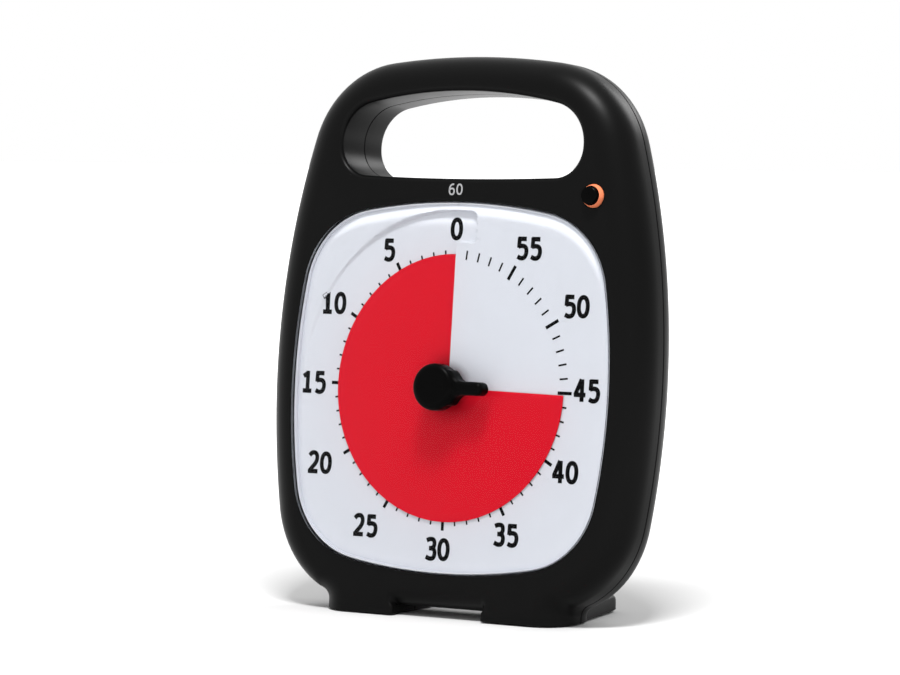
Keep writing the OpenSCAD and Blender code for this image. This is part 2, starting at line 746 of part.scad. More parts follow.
// Outline of a wheel: each tooth has a flat tip and straight flanks
function tooth_line(n, m, turn) = let (r = n*m/2, tip = r + 0.8*m, root = r - 1.15*m,
        pitch = 360/n)
    [for (i = [0 : n - 1], k = [[root, -0.3], [tip, -0.1], [tip, 0.1], [root, 0.3]])
        let (a = (i + k[1])*pitch + turn) [k[0]*cos(a), k[0]*sin(a)]];

module gear(at, n, y0, y1, turn, bore) {
    translate([at[0], 0, at[1]]) slab(y0, y1) difference() {
        polygon(tooth_line(n, tooth_module, turn));
        if (bore > 0) circle(d = bore);
    }
}

// Turn that lays a wheel's gap opposite a pinion's tooth
function mesh_turn(wheel, pinion, from, to, pinion_turn) =
    let (dir = bearing(to - from), phase = (dir + 180 - pinion_turn)/(360/pinion))
    dir + (phase - floor(phase) - 0.5)*360/wheel;

// A wheel with its pinion and arbor; the pinion drives the next wheel in front
module wheel_set(at, n, level, turn, next_level) {
    gear(at, n, level, level + wheel_t, turn, 0);
    gear(at, pinion_n, next_level - 0.3, level + eps, 0, 0);
    rod(at, train_front + 0.1, train_back - 0.1, arbor_d);
    rod(at, train_front - case_wall + 0.3, train_back + case_wall - 0.3, arbor_d - 0.3);
}

module rotor() {
    color("dimgray") stand() {
        rod(pivot_r, stator_y - 1, stator_y + 3, 4.6);
        gear(pivot_r, pinion_n, stator_y + 3 - eps, level_1 + wheel_t + 0.3, 0, 0);
        rod(pivot_r, train_front + 0.1, train_back - 0.1, arbor_d);
        rod(pivot_r, train_front - case_wall + 0.3, train_back + case_wall - 0.3,
            arbor_d - 0.3);
    }
}

module first_wheel() {
    color("ivory") stand() wheel_set(pivot_1, wheel_n[0], level_1,
        mesh_turn(wheel_n[0], pinion_n, pivot_1, pivot_r, 0), level_2);
}

module second_wheel() {
    color("ivory") stand() wheel_set(pivot_2, wheel_n[1], level_2,
        mesh_turn(wheel_n[1], pinion_n, pivot_2, pivot_1, 0), level_3);
}

module third_wheel() {
    color("ivory") stand() wheel_set(pivot_3, wheel_n[2], level_3,
        mesh_turn(wheel_n[2], pinion_n, pivot_3, pivot_2, 0), level_c);
}

module centre_wheel() {
    color("goldenrod") stand() gear(pivot_c, wheel_n[3], level_c, level_c + wheel_t,
        mesh_turn(wheel_n[3], pinion_n, pivot_c, pivot_3, 0), hub_bore);
}

// Laminated plate that carries the coil's field round the rotor
module stator() {
    ring = 5.4;
    arm = 4;
    top = coil_z[1] + 2.5;
    color("lightsteelblue") stand() slab(stator_y, stator_y + 1) difference() {
        union() {
            translate(pivot_r) circle(r = ring);
            translate([pivot_r[0], pivot_r[1] - arm/2])
                square([coil_x + arm/2 - pivot_r[0], arm]);
            translate([pivot_r[0] + ring - arm/2 - 0.6, pivot_r[1] + 1.4])
                square([arm - 0.6, top + 2 - pivot_r[1]]);
            translate([pivot_r[0] + ring - arm/2 - 0.6, top])
                square([coil_x + arm/2 - pivot_r[0] - ring + arm/2 + 0.6, arm]);
        }
        translate(pivot_r) circle(r = 3.1);
        translate([pivot_r[0] + ring + 1.6, pivot_r[1] + 2.1]) circle(r = 0.6);
    }
}

module coil_core() {
    color("lightsteelblue") stand()
        translate([coil_x - core_w/2, stator_y + 1, pivot_r[1] - 1.6])
        cube([core_w, core_w, coil_z[1] + 5.5 - pivot_r[1] + 1.6]);
}

module drive_coil() {
    y = stator_y + 1 + core_w/2;
    h = coil_z[1] - coil_z[0];
    color("chocolate") stand() translate([coil_x, y, coil_z[0]]) difference() {
        union() {
            cylinder(h = h, d = coil_d);
            for (z = [0, h - 0.8]) translate([0, 0, z]) cylinder(h = 0.8, d = coil_d + 1);
        }
        translate([-core_w/2 - 0.05, -core_w/2 - 0.05, -1])
            cube([core_w + 0.1, core_w + 0.1, h + 2]);
    }
}

module case_shape(d) {
    translate([-case_w/2 + 2, -case_w/2]) square([case_w - 4, case_w]);
    translate([-case_w/2, -case_w/2 + 2]) square([case_w, case_w - 4]);
    for (x = [-1, 1], z = [-1, 1]) translate([x*(case_w/2 - 2), z*(case_w/2 - 2)])
        circle(r = 2);
}

module case_room() {
    w = case_w - 2*case_wall;
    translate([-w/2, -w/2]) square(w);
}

head_sink = 1.4;            // depth of the counterbores in the movement's front
small_head_d = 3.4;
pivots = [pivot_1, pivot_2, pivot_3, pivot_r];

module movement_front() {
    color("#e8e6dc") stand() difference() {
        slab(case_y, case_split) case_shape();
        slab(case_y + case_wall, case_split + 1) difference() {
            case_room();
            for (p = case_screws) translate(p) circle(r = small_boss_r + 0.4);
        }
        rod([0, 0], case_y - 1, case_split, shaft_d + 2*run_gap);
        for (p = pivots) rod(p, case_y + 0.2, case_split, arbor_d - 0.3 + 2*run_gap);
        for (p = case_screws) {
            rod(p, case_y - 1, case_y + head_sink, small_head_d + 2*fit_gap);
            rod(p, case_y, case_split + 1, small_screw_d + 2*fit_gap);
        }
    }
}

module movement_back() {
    color("#e8e6dc") stand() difference() {
        slab(case_split, case_back) case_shape();
        slab(case_split - 1, train_back) difference() {
            case_room();
            for (p = case_screws) translate(p) circle(r = small_boss_r + 0.4);
        }
        rod([0, 0], train_back - 1, case_back - 0.4, 2 + 2*run_gap);
        for (p = pivots) rod(p, train_back - 1, case_back - 0.2, arbor_d - 0.3 + 2*run_gap);
        for (p = case_screws) rod(p, case_split - 1, case_back + 1,
            small_screw_d + 2*fit_gap);
    }
}

module movement_screws() {
    color("silver") stand() for (p = case_screws) mirror([0, 1, 0])
        screw(p, -case_y - head_sink, -plate_y - 0.9, small_screw_d, small_head_d);
}

// ---------- fasteners of the housing ----------

module housing_screws() {
    color("silver") stand() for (p = housing_screws)
        screw(p, well_y, boss_y + 1.4, screw_d, screw_head_d);
}

// ---------- volume dial, board and speaker ----------

module volume_cap() {
    color("#17181a") stand() {
        difference() {
            translate([volume_x, 0, volume_z]) rotate([90, 0, 0]) rotate_extrude()
                polygon([[0, -0.1], [volume_d/2 + 0.2, -0.1], [volume_d/2 - 0.1, volume_h - 0.5],
                    [volume_d/2 - 0.6, volume_h], [0, volume_h]]);
            translate([volume_x - 0.35, -volume_h - 1, volume_z + 0.6]) cube([0.7, 1.5, 4]);
        }
        rod([volume_x, volume_z], 0.1 - eps, board_y - pot_t + 0.3, pot_shaft_d);
    }
}

module volume_ring() {
    color("#e6825a") stand() difference() {
        rod([volume_x, volume_z], 0.1, 0.7, volume_ring_d);
        rod([volume_x, volume_z], -1, 2, pot_shaft_d + 2*run_gap);
        rod([volume_x, volume_z], -1, 0.2, volume_d + 1);
    }
}

module volume_control() {
    color("#30506a") stand() difference() {
        translate([volume_x - pot_w/2, board_y - pot_t, volume_z - pot_w/2])
            cube([pot_w, pot_t, pot_w]);
        rod([volume_x, volume_z], board_y - pot_t - 1, board_y - pot_t + 1,
            pot_shaft_d + 2*run_gap);
    }
}

module circuit_board() {
    color("darkgreen") stand() difference() {
        translate([board_x[0], board_y, board_z[0]])
            cube([board_x[1] - board_x[0], board_t, board_z[1] - board_z[0]]);
        for (p = board_screws) rod(p, board_y - 1, board_y + board_t + 1,
            small_screw_d + 2*fit_gap);
    }
}

module board_parts() {
    color("#202020") stand() {
        z0 = board_z[0];
        translate([board_x[0] + 3.5, board_y - 1.6, z0 + 16]) cube([6, 1.6, 8]);
        rod([board_x[0] + 4, z0 + 39], board_y - 4, board_y, 4);
        translate([board_x[0] + 7, board_y - 2, z0 + 37]) cube([3.6, 2, 6]);
        for (z = [25.5, 27.5]) translate([board_x[0] + 2, board_y - 0.8, z0 + z])
            cube([2, 0.8, 1.2]);
    }
}

module board_screws() {
    color("silver") stand() for (p = board_screws) mirror([0, 1, 0])
        screw(p, -board_y, -board_y - board_t - 4.5, small_screw_d, 3.4);
}

module speaker() {
    back = plate_y;
    color("dimgray") stand() {
        rod([speaker_x, speaker_z], back - 1.6, back, speaker_d);
        rod([speaker_x, speaker_z], back - speaker_t, back - 1.6 + eps, speaker_d*0.55);
    }
}

// ---------- battery ----------

cell_x = -cell_l/2;

module battery_cell() {
    color("#b08a3c") stand() translate([0, cell_y, bay_z]) rotate([0, 90, 0]) {
        translate([0, 0, cell_x]) cylinder(h = cell_l - 1, d = cell_d);
        translate([0, 0, cell_l/2 - 1 - eps]) cylinder(h = 1 + eps, d = 5.5);
    }
}

module contact_plate() {
    color("silver") stand() translate([cell_l/2 + 0.1, cell_y - 5, bay_z - 5])
        cube([bay_w/2 - cell_l/2 - 0.2, 10, 10]);
}

// A cone of spring wire that presses on the cell's flat end
module contact_spring() {
    turns = 3;
    n = 24;
    wire = 0.35;
    x0 = -bay_w/2 + 0.1;
    length = bay_w/2 - cell_l/2 - 0.3 - 2*wire;
    ring = function (u) let (a = 360*turns*u, r = 4.6 - 2*u, x = x0 + wire + length*u)
        [for (k = [0 : 5]) [x + wire*sin(60*k),
            cell_y + (r + wire*cos(60*k))*cos(a), bay_z + (r + wire*cos(60*k))*sin(a)]];
    color("silver") stand() stacked([for (i = [0 : n*turns]) ring(i/(n*turns))]);
}

// Outline of the battery door with its screw tab
module door_shape(d) {
    translate([-door_w/2 - d, door_z0 - d]) square([door_w + 2*d, door_z1 - door_z0 + 2*d]);
    translate([-tab_w/2 - d, door_z1 - 1]) square([tab_w + 2*d, tab_h + 1 + d]);
}

module battery_door() {
    y = body_d;
    color("#1d1e20") stand() difference() {
        slab(y - door_t, y) door_shape(0);
        rod([0, tab_z], y - door_t - 1, y + 1, small_screw_d + 2*fit_gap);
        rod([0, tab_z], y - 1.2, y + 1, 4);
        for (i = [-2 : 2]) translate([i*4 - 0.5, y - 0.5, door_z0 + 3]) cube([1, 1, 6]);
    }
}

module door_screw() {
    color("silver") stand() screw([0, tab_z], body_d - 1.2, body_d - door_t - 3.4,
        small_screw_d, 3.2);
}

front_housing();
rear_housing();
clear_lens();
dial_plate();
red_disc();
disc_hub();
set_knob();
centre_shaft();
clutch_spring();
centre_wheel();
third_wheel();
second_wheel();
first_wheel();
rotor();
stator();
drive_coil();
coil_core();
movement_front();
movement_back();
movement_screws();
dial_screws();
housing_screws();
volume_cap();
volume_ring();
volume_control();
circuit_board();
board_parts();
board_screws();
speaker();
battery_cell();
contact_plate();
contact_spring();
battery_door();
door_screw();
foot_pads();
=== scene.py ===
# %% [markdown]
# # A sixty-minute visual timer
# A table timer that shows time as a red disc: the knob winds the disc out of a slit at zero,
# and a quartz movement winds it back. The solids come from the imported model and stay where
# they are. This lesson gives them their finish, and replaces the few whose soft edges need
# more points than an engineering model has.

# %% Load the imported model
from math import asin, atan2, ceil, cos, degrees, hypot, pi, radians, sin, sqrt

import bpy
import bmesh
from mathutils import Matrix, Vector
from mathutils.geometry import delaunay_2d_cdt


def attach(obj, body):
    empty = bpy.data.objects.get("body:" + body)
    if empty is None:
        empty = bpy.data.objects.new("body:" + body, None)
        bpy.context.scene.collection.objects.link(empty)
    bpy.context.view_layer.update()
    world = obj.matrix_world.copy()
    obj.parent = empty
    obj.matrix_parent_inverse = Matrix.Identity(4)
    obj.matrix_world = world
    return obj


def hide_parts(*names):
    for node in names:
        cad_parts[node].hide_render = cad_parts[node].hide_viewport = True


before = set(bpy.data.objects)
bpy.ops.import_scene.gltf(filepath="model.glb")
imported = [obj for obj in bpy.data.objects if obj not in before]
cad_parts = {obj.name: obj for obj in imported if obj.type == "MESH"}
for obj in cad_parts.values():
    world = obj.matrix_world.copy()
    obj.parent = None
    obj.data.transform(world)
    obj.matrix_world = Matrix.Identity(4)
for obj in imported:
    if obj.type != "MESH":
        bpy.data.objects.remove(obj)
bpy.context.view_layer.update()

# %% [markdown]
# ## The dial's own frame
# The timer leans back by 5.5 degrees. Everything on its face is easier to place in a frame
# that leans with it: x to the right, y back from the front face, z up from the dial's
# centre, in millimetres. One function turns such a point into the model's metres.

# %% From the dial's frame to the model's
LEAN = radians(5.5)
DIAL = Vector((0, -0.016541, 0.072166))
BODY_D, SPLIT, WALL = 24.5, 13.4, 2.2


def stand(p):
    """A point of the dial's frame in the model's metres."""
    x, y, z = p
    return DIAL + Vector((x, y*cos(LEAN) + z*sin(LEAN), z*cos(LEAN) - y*sin(LEAN)))*0.001


print("knob axis at", stand((0, 0, 0)))

# %% [markdown]
# ## Shader maths that reads like maths
# A material is a graph of nodes, and a graph written node by node is hard to read. A small
# class holds one output socket and overloads the operators, so a mix can be written as
# `slow*0.7 + rub*0.3` and the Math nodes appear by themselves. Everything else goes through
# one method, `node`.


# %% Sockets with operators
class Value:
    """An output socket that can be added, subtracted and multiplied."""

    def __init__(self, finish, socket):
        self.finish, self.socket = finish, socket

    def _math(self, operation, a, b):
        """One Math node."""
        return self.finish.node("ShaderNodeMath", {"operation": operation}, {0: a, 1: b})

    def __add__(self, other):
        return self._math("ADD", self, other)

    def __sub__(self, other):
        return self._math("SUBTRACT", self, other)

    def __mul__(self, other):
        return self._math("MULTIPLY", self, other)

    __radd__ = __add__


class Finish:
    """A material or world in the making: node() adds nodes, surface() or close() ends it."""

    def __init__(self, name, owner=None):
        self.material = owner or bpy.data.materials.new(name)
        self.material.use_nodes = True
        self.tree = self.material.node_tree
        self.tree.nodes.clear()
        self.place = self.node("ShaderNodeTexCoord", {}, {}, "Object")

    def node(self, kind, settings, inputs, output=0):
        """Adds one node; its settings come first, then values or links for its sockets."""
        made = self.tree.nodes.new(kind)
        for key, value in settings.items():
            setattr(made, key, value)
        for key, value in inputs.items():
            if isinstance(value, Value):
                self.tree.links.new(value.socket, made.inputs[key])
            else:
                made.inputs[key].default_value = value
        return Value(self, made.outputs[output])

    def noise(self, scale, detail=3.0, stretch=None):
        """Noise in metres on the piece itself, so it rides along with it."""
        place = self.place
        if stretch:
            place = self.node("ShaderNodeMapping", {}, {"Vector": place, "Scale": stretch})
        return self.node("ShaderNodeTexNoise", {},
                         {"Vector": place, "Scale": scale, "Detail": detail})

    def between(self, factor, dark, light):
        """A colour between two others."""
        return self.node("ShaderNodeMix", {"data_type": "RGBA"},
                         {0: factor, 6: (*dark, 1), 7: (*light, 1)}, 2)

    def bump(self, height, distance, strength=1.0):
        """A normal that follows a height; distance is in metres."""
        return self.node("ShaderNodeBump", {}, {"Height": height, "Distance": distance,
                                                "Strength": strength})

    def surface(self, **inputs):
        """Ends the material with one Principled shader."""
        names = {key.replace("_", " "): value for key, value in inputs.items()}
        shader = self.node("ShaderNodeBsdfPrincipled", {}, names)
        self.close(shader)
        return self.material

    def close(self, shader, kind="ShaderNodeOutputMaterial"):
        """Links the last shader to the output."""
        end = self.tree.nodes.new(kind)
        self.tree.links.new(shader.socket, end.inputs["Surface"])


def rgb(r, g, b):
    """A screen colour, 0 to 255, as the linear colour that shaders use."""
    return tuple((c/255/12.92 if c < 11 else ((c/255 + 0.055)/1.055)**2.4) for c in (r, g, b))


print("white is", rgb(255, 255, 255))

# %% [markdown]
# ## Satin black plastic
# The housing is moulded ABS with a spark-eroded grain: a fine, even texture that spreads
# highlights into soft bands. Under the grain there are slow changes of gloss, where hands
# have polished the handle. Noise at three scales gives all of it: the finest for the grain's
# bump, a slow one for shade and roughness, and a stretched one for the marks of rubbing.
# Black plastic owes most of its brightness to what it mirrors, so its specular level is low.


# %% Moulded plastics
def moulded(name, dark, light, rough, grain=0.00002, gloss=0.4):
    """A moulded plastic between two shades; grain is the depth of its texture in metres."""
    made = Finish(name)
    slow, fine = made.noise(28, 4), made.noise(2600, 2)
    rub = made.noise(160, 5, (1, 1, 0.25))
    return made.surface(
        Base_Color=made.between(slow*0.7 + rub*0.3, dark, light),
        Roughness=rough - 0.06 + slow*0.07 + rub*0.05,
        Normal=made.bump(fine + slow*0.1, grain, 0.6), Specular_IOR_Level=gloss)


housing_black = moulded("housing_satin_black", rgb(5, 5, 5), rgb(8, 8, 8), 0.35, 0.00001,
                        0.075)
knob_black = moulded("knob_black", rgb(2, 2, 2), rgb(4, 4, 4), 0.3, 0.000005, 0.03)
dial_white = moulded("dial_white", rgb(216, 218, 225), rgb(221, 223, 229), 0.5, 0.0000008, 0.2)
disc_red = moulded("disc_red_film", rgb(213, 18, 38), rgb(219, 22, 42), 0.5, 0.0000006, 0.05)
ring_orange = moulded("ring_orange", rgb(225, 118, 76), rgb(236, 136, 96), 0.4, 0.000006)
case_ivory = moulded("movement_case", rgb(226, 224, 214), rgb(236, 234, 226), 0.45)
gear_ivory = moulded("gear_ivory", rgb(236, 230, 210), rgb(244, 240, 224), 0.38, 0.000005)
pad_rubber = moulded("pad_rubber", rgb(20, 20, 20), rgb(34, 34, 34), 0.8, 0.00003, 0.2)
ink_black = moulded("ink_black", rgb(4, 4, 5), rgb(7, 7, 8), 0.5, 0.000001, 0.05)
ink_grey = moulded("ink_grey", rgb(138, 138, 140), rgb(158, 158, 160), 0.5, 0.000002)
print("plastics:", len(bpy.data.materials))

# %% [markdown]
# ## Metals, board and cell
# Inside are turned, stamped and plated metals. Each has fine marks from its making, so the
# noise is stretched along one axis and moves roughness and a very small bump.


# %% Metals and the rest
def metal(name, colour, rough, stretch=(1, 1, 14)):
    """A metal whose marks run along one axis, each axis scaled by stretch."""
    made = Finish(name)
    marks, cloud = made.noise(420, 4, stretch), made.noise(60, 3)
    dull = tuple(c*0.82 for c in colour)
    return made.surface(
        Base_Color=made.between(cloud, dull, colour), Metallic=1.0,
        Roughness=rough - 0.08 + marks*0.16, Normal=made.bump(marks, 0.000005, 0.5))


steel = metal("steel_bright", rgb(205, 206, 210), 0.3)
brass = metal("brass_plain", rgb(206, 172, 98), 0.32, (14, 1, 1))
iron = metal("iron_sheet", rgb(168, 172, 180), 0.4, (1, 14, 1))
copper = metal("copper_wire", rgb(196, 112, 70), 0.35, (0.2, 0.2, 60))
magnet = metal("magnet_grey", rgb(96, 96, 100), 0.45)
control_blue = moulded("control_case", rgb(38, 66, 88), rgb(48, 80, 106), 0.4)
board_green = moulded("board_green", rgb(18, 66, 42), rgb(26, 84, 54), 0.35, 0.00001)
parts_black = moulded("parts_black", rgb(26, 26, 28), rgb(40, 40, 42), 0.5)
speaker_grey = moulded("speaker_cone", rgb(44, 44, 46), rgb(62, 62, 64), 0.6, 0.00006)
cell_wrap = moulded("cell_wrap", rgb(170, 132, 58), rgb(186, 148, 70), 0.3, 0.000004)
print("finishes:", len(bpy.data.materials))

# %% [markdown]
# ## Clear lens
# The lens is a moulded acrylic cover. Seen straight on it is all but invisible; towards a
# grazing view it mirrors the room. A Fresnel factor mixes a transparent and a mirroring
# shader, which gives that without the dark shadow that refraction would throw on the dial.
# What the factor would be face on is taken off first, so the dial shows no veil.

# %% Acrylic
FACE_ON, GLOSS = 0.034, 0.6
acrylic = Finish("lens_acrylic")
haze = acrylic.noise(90, 3)
clear = acrylic.node("ShaderNodeBsdfTransparent", {}, {"Color": (0.99, 0.993, 0.995, 1)})
gloss = acrylic.node("ShaderNodeBsdfPrincipled", {}, {
    "Base Color": (0.85, 0.86, 0.88, 1), "Metallic": 1.0, "Roughness": haze*0.05 + 0.05})
edge = acrylic.node("ShaderNodeFresnel", {}, {"IOR": 1.42})
acrylic.close(acrylic.node("ShaderNodeMixShader", {}, {
    0: (edge - FACE_ON)*GLOSS, 1: clear, 2: gloss}))
lens_clear = acrylic.material

# %% [markdown]
# ## Giving the solids their finish
# Nodes that already have the right shape only need their material. The loaded mesh stays
# as it is; the new material goes into its slots.

# %% Finishes by node
FINISHES = {
    housing_black: "battery_door",
    steel: "centre_shaft movement_screws dial_screws housing_screws board_screws door_screw "
           "contact_plate contact_spring",
    brass: "clutch_spring centre_wheel",
    iron: "stator coil_core",
    copper: "drive_coil",
    magnet: "rotor",
    gear_ivory: "third_wheel second_wheel first_wheel",
    case_ivory: "movement_front movement_back",
    control_blue: "volume_control",
    board_green: "circuit_board",
    parts_black: "board_parts",
    speaker_grey: "speaker",
    cell_wrap: "battery_cell",
    pad_rubber: "foot_pads",
}
for material, names in FINISHES.items():
    for name in names.split():
        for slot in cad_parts[name].material_slots:
            slot.material = material
print("dressed:", sum(len(v.split()) for v in FINISHES.values()), "nodes")

# %% [markdown]
# ## Skins from rings of points
# A moulded shell is a family of closed outlines, each a little in and back from the last.
# `Skin` keeps such rings, joins neighbours with quads, and closes flat faces with a
# triangulation that leaves holes open: a triangle stays if a line from its middle crosses
# the outlines an odd number of times. Flat faces stay flat-shaded and bands are smooth,
# which gives clean highlights on the rounded edges.


# %% A mesh made of rings
class Skin:
    """Points, faces and their smoothing, gathered ring by ring."""

    def __init__(self):
        self.points, self.faces, self.smooth = [], [], []

    def ring(self, points, place=stand):
        """Adds points and returns their numbers."""
        first = len(self.points)
        self.points += [place(p) for p in points]
        return list(range(first, len(self.points)))

    def band(self, a, b, closed=True, smooth=True):
        """Joins two rings with quads."""
        n = len(a)
        for i in range(n if closed else n - 1):
            j = (i + 1) % n
            self.faces.append((a[i], a[j], b[j], b[i]))
            self.smooth.append(smooth)

    def bands(self, rings, closed=True):
        """Joins each ring to the next."""
        for a, b in zip(rings, rings[1:]):
            self.band(a, b, closed)

    def flat(self, *loops):
        """Fills between the first loop and the others, which are holes."""
        order = [i for loop in loops for i in loop]
        across, up = self.axes(loops[0])
        spots = [Vector((self.points[i].dot(across), self.points[i].dot(up)))*1000
                 for i in order]
        sides, first = [], 0
        for loop in loops:
            n = len(loop)
            sides += [(first + i, first + (i + 1) % n) for i in range(n)]
            first += n
        made = delaunay_2d_cdt(spots, sides, [], 0, 1e-5)
        for tri in ([made[3][k][0] for k in face] for face in made[2]):
            x, z = sum((spots[k] for k in tri), Vector((0, 0)))/3
            hits = 0
            for a, b in sides:
                (ax, az), (bx, bz) = spots[a], spots[b]
                hits += (az > z) != (bz > z) and x < ax + (bx - ax)*(z - az)/(bz - az)
            if hits % 2:
                self.faces.append(tuple(order[k] for k in tri))
                self.smooth.append(False)

    def axes(self, loop):
        """Two directions that span the plane of a loop."""
        p, n = self.points[loop[0]], len(loop)
        across = (self.points[loop[n//3]] - p).normalized()
        normal = across.cross(self.points[loop[2*n//3]] - p).normalized()
        return across, normal.cross(across)

    def piece(self, name, material, body, slot, *nodes, crease=28, sheet=False):
        """Makes the object: it rides on a body and stands for the nodes that it names."""
        mesh = bpy.data.meshes.new(name)
        mesh.from_pydata(self.points, [], self.faces)
        mesh.polygons.foreach_set("use_smooth", self.smooth)
        work = bmesh.new()
        work.from_mesh(mesh)
        bmesh.ops.recalc_face_normals(work, faces=work.faces)
        work.normal_update()
        if sheet and sum(face.normal.y*face.calc_area() for face in work.faces) > 0:
            bmesh.ops.reverse_faces(work, faces=work.faces)
        work.to_mesh(mesh)
        work.free()
        mesh.set_sharp_from_angle(angle=radians(crease))
        made = bpy.data.objects.new(name, mesh)
        bpy.context.scene.collection.objects.link(made)
        mesh.materials.append(material)
        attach(made, body)
        if nodes:
            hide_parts(*nodes)
        print(name, len(mesh.polygons), "faces")
        return made


# %% [markdown]
# ## Outlines of arcs that run into each other
# The body, the lens and the handle opening are all drawn the same way: a crown, a corner
# and a bowed side, each arc tangent to the next. The centre of a corner is found from the
# two circles that it touches. Every point keeps its outward normal, so an outline can be
# moved in or out by any distance.


# %% Tangent arcs
def bearing(v):
    """Angle of a vector, in degrees from the x axis."""
    return degrees(atan2(v[1], v[0]))


def touch(c1, r1, c2, r2, r):
    """Centre of a circle of radius r that touches two larger circles from inside."""
    c1, c2 = Vector(c1), Vector(c2)
    a, b, d = r1 - r, r2 - r, c2 - c1
    e = d.normalized()
    x = (a*a - b*b + d.length**2)/(2*d.length)
    h = sqrt(max(a*a - x*x, 0))
    side = Vector((-e[1], e[0]))*h
    return max((c1 + x*e + side, c1 + x*e - side), key=lambda p: p[0])


def arc(c, r, a0, a1, turn=4, chord=4):
    """Points and normals of an arc, no further apart than turn degrees or chord mm."""
    n = ceil(max(abs(a1 - a0)/turn, abs(radians(a1 - a0))*r/chord))
    steps = [radians(a0 + (a1 - a0)*i/n) for i in range(n)]
    return [(c[0] + r*cos(a), c[1] + r*sin(a), cos(a), sin(a)) for a in steps]


def mirrored(right, last):
    """The right half, its last point and the same half on the left, going round."""
    return right + last + [(-p[0], p[1], -p[2], *p[3:]) for p in right[:0:-1]]


def outline(half, top, bottom, wide, crown, corner, side, low_corner, low_crown):
    """A closed outline with bowed sides that are widest at height wide."""
    ct, cs, cb = (0, top - crown), (half - side, wide), (0, bottom + low_crown)
    c1, c2 = touch(ct, crown, cs, side, corner), touch(cs, side, cb, low_crown, low_corner)
    a1, a2 = bearing(c1 - Vector(ct)), bearing(c1 - Vector(cs))
    a3, a4 = bearing(c2 - Vector(cs)), bearing(c2 - Vector(cb))
    right = (arc(ct, crown, 90, a1) + arc(c1, corner, a1, a2) + arc(cs, side, a2, a3)
             + arc(c2, low_corner, a3, a4) + arc(cb, low_crown, a4, -90))
    return mirrored(right, [(0, bottom, 0, -1)])


def grown(line, d, y):
    """The outline moved out by d, at depth y."""
    return [(p[0] + d*p[2], y, p[1] + d*p[3]) for p in line]


def circle(x, z, r, y, n=48):
    """A circle at depth y."""
    return [(x + r*cos(2*pi*i/n), y, z + r*sin(2*pi*i/n)) for i in range(n)]


LENS = 58.4
lens_line = outline(half=LENS, top=LENS, bottom=-LENS, wide=0, crown=190, corner=27, side=190,
                    low_corner=27, low_crown=190)
hole_line = outline(half=44.5, top=93.2, bottom=65.6, wide=78.29, crown=160, corner=13, side=60,
                    low_corner=10, low_crown=900)
print("lens outline:", len(lens_line), "points; handle opening:", len(hole_line))

# %% [markdown]
# ## The body's outline with its two feet
# Below, the side runs through a small hollow fillet into each foot, and the foot meets the
# arch. A second outline, point for point beside the first, leaves the feet out: it is the
# inside of the shell. Each point also carries the radius of the edge there, large on the
# flanks and small under the body, and a flag that keeps the soles level with the table.

# %% Outline with feet
HALF, TOP, LOW, WIDE = 69.7, 104.6, -69.0, 3.7
EDGE_SIDE, EDGE_TOP, EDGE_LOW, FOOT_EDGE = 10.5, 9.0, 6.0, 1.2
FOOT_IN, FOOT_OUT, SOLE = 16.2, 45.0, -72.5 + 0.5/cos(LEAN)
CROWN_R, SIDE_R, CORNER_R, BASE_R, LEG_R, ARCH_R = 250, 265, 34, 1200, 4, 0.4
crown_c, side_c, low_c = (0, TOP - CROWN_R), (HALF - SIDE_R, WIDE), (0, LOW + BASE_R)
top_c = touch(crown_c, CROWN_R, side_c, SIDE_R, CORNER_R)
corner_c = touch(side_c, SIDE_R, low_c, BASE_R, CORNER_R)
leg_x, leg_reach = FOOT_OUT + LEG_R, CORNER_R + LEG_R
leg_c = (leg_x, corner_c[1] - sqrt(leg_reach**2 - (leg_x - corner_c[0])**2))
leg_turn = bearing(Vector(leg_c) - corner_c)
HOLLOW = 8


def edge_at(p):
    """Radius of the rounded edge where the normal points this way."""
    return EDGE_SIDE*p[2]**2 + (EDGE_TOP if p[3] > 0 else EDGE_LOW)*p[3]**2


def hollow(c, r, a0, a1):
    """An arc seen from inside: its normals point at its centre."""
    steps = [radians(a0 + (a1 - a0)*i/HOLLOW) for i in range(HOLLOW + 1)]
    return [(c[0] + r*cos(a), c[1] + r*sin(a), -cos(a), -sin(a)) for a in steps]


# the angles at which one arc hands over to the next
a1, a2 = bearing(top_c - Vector(crown_c)), bearing(top_c - Vector(side_c))
a3, a4 = bearing(corner_c - Vector(side_c)), bearing(corner_c - Vector(low_c))
a5, rungs = -90 + degrees(asin(FOOT_IN/BASE_R)), HOLLOW + 2
upper = (arc(crown_c, CROWN_R, 90, a1) + arc(top_c, CORNER_R, a1, a2)
         + arc(side_c, SIDE_R, a2, a3) + arc(corner_c, CORNER_R, a3, leg_turn))
upper = [(*p, edge_at(p), 0) for p in upper]
leg = [(*p, edge_at(p), 0) for p in hollow(leg_c, LEG_R, leg_turn + 180, 180)]
arch = [(*p, FOOT_EDGE + (EDGE_LOW - FOOT_EDGE)*p[3]**2, 0)
        for p in hollow((FOOT_IN - ARCH_R, LOW - ARCH_R), ARCH_R, 0, 90)]
foot_half = (upper + leg + [(FOOT_OUT, SOLE, 1, 0, EDGE_SIDE, 1),
                            (FOOT_IN, SOLE, -1, 0, FOOT_EDGE, 1)] + arch)
room_half = upper + [(*p, edge_at(p), 0) for p in (
    [(corner_c[0] + CORNER_R*cos(a), corner_c[1] + CORNER_R*sin(a), cos(a), sin(a))
     for a in (radians(leg_turn + (a4 - leg_turn)*i/rungs) for i in range(rungs))]
    + [(BASE_R*cos(a), low_c[1] + BASE_R*sin(a), cos(a), sin(a))
       for a in (radians(a4 + (a5 - a4)*i/(rungs - 1)) for i in range(rungs))])]
foot_line = mirrored(foot_half, [])
room_line = mirrored(room_half, [])
print("body outline:", len(foot_line), "points, inside:", len(room_line))

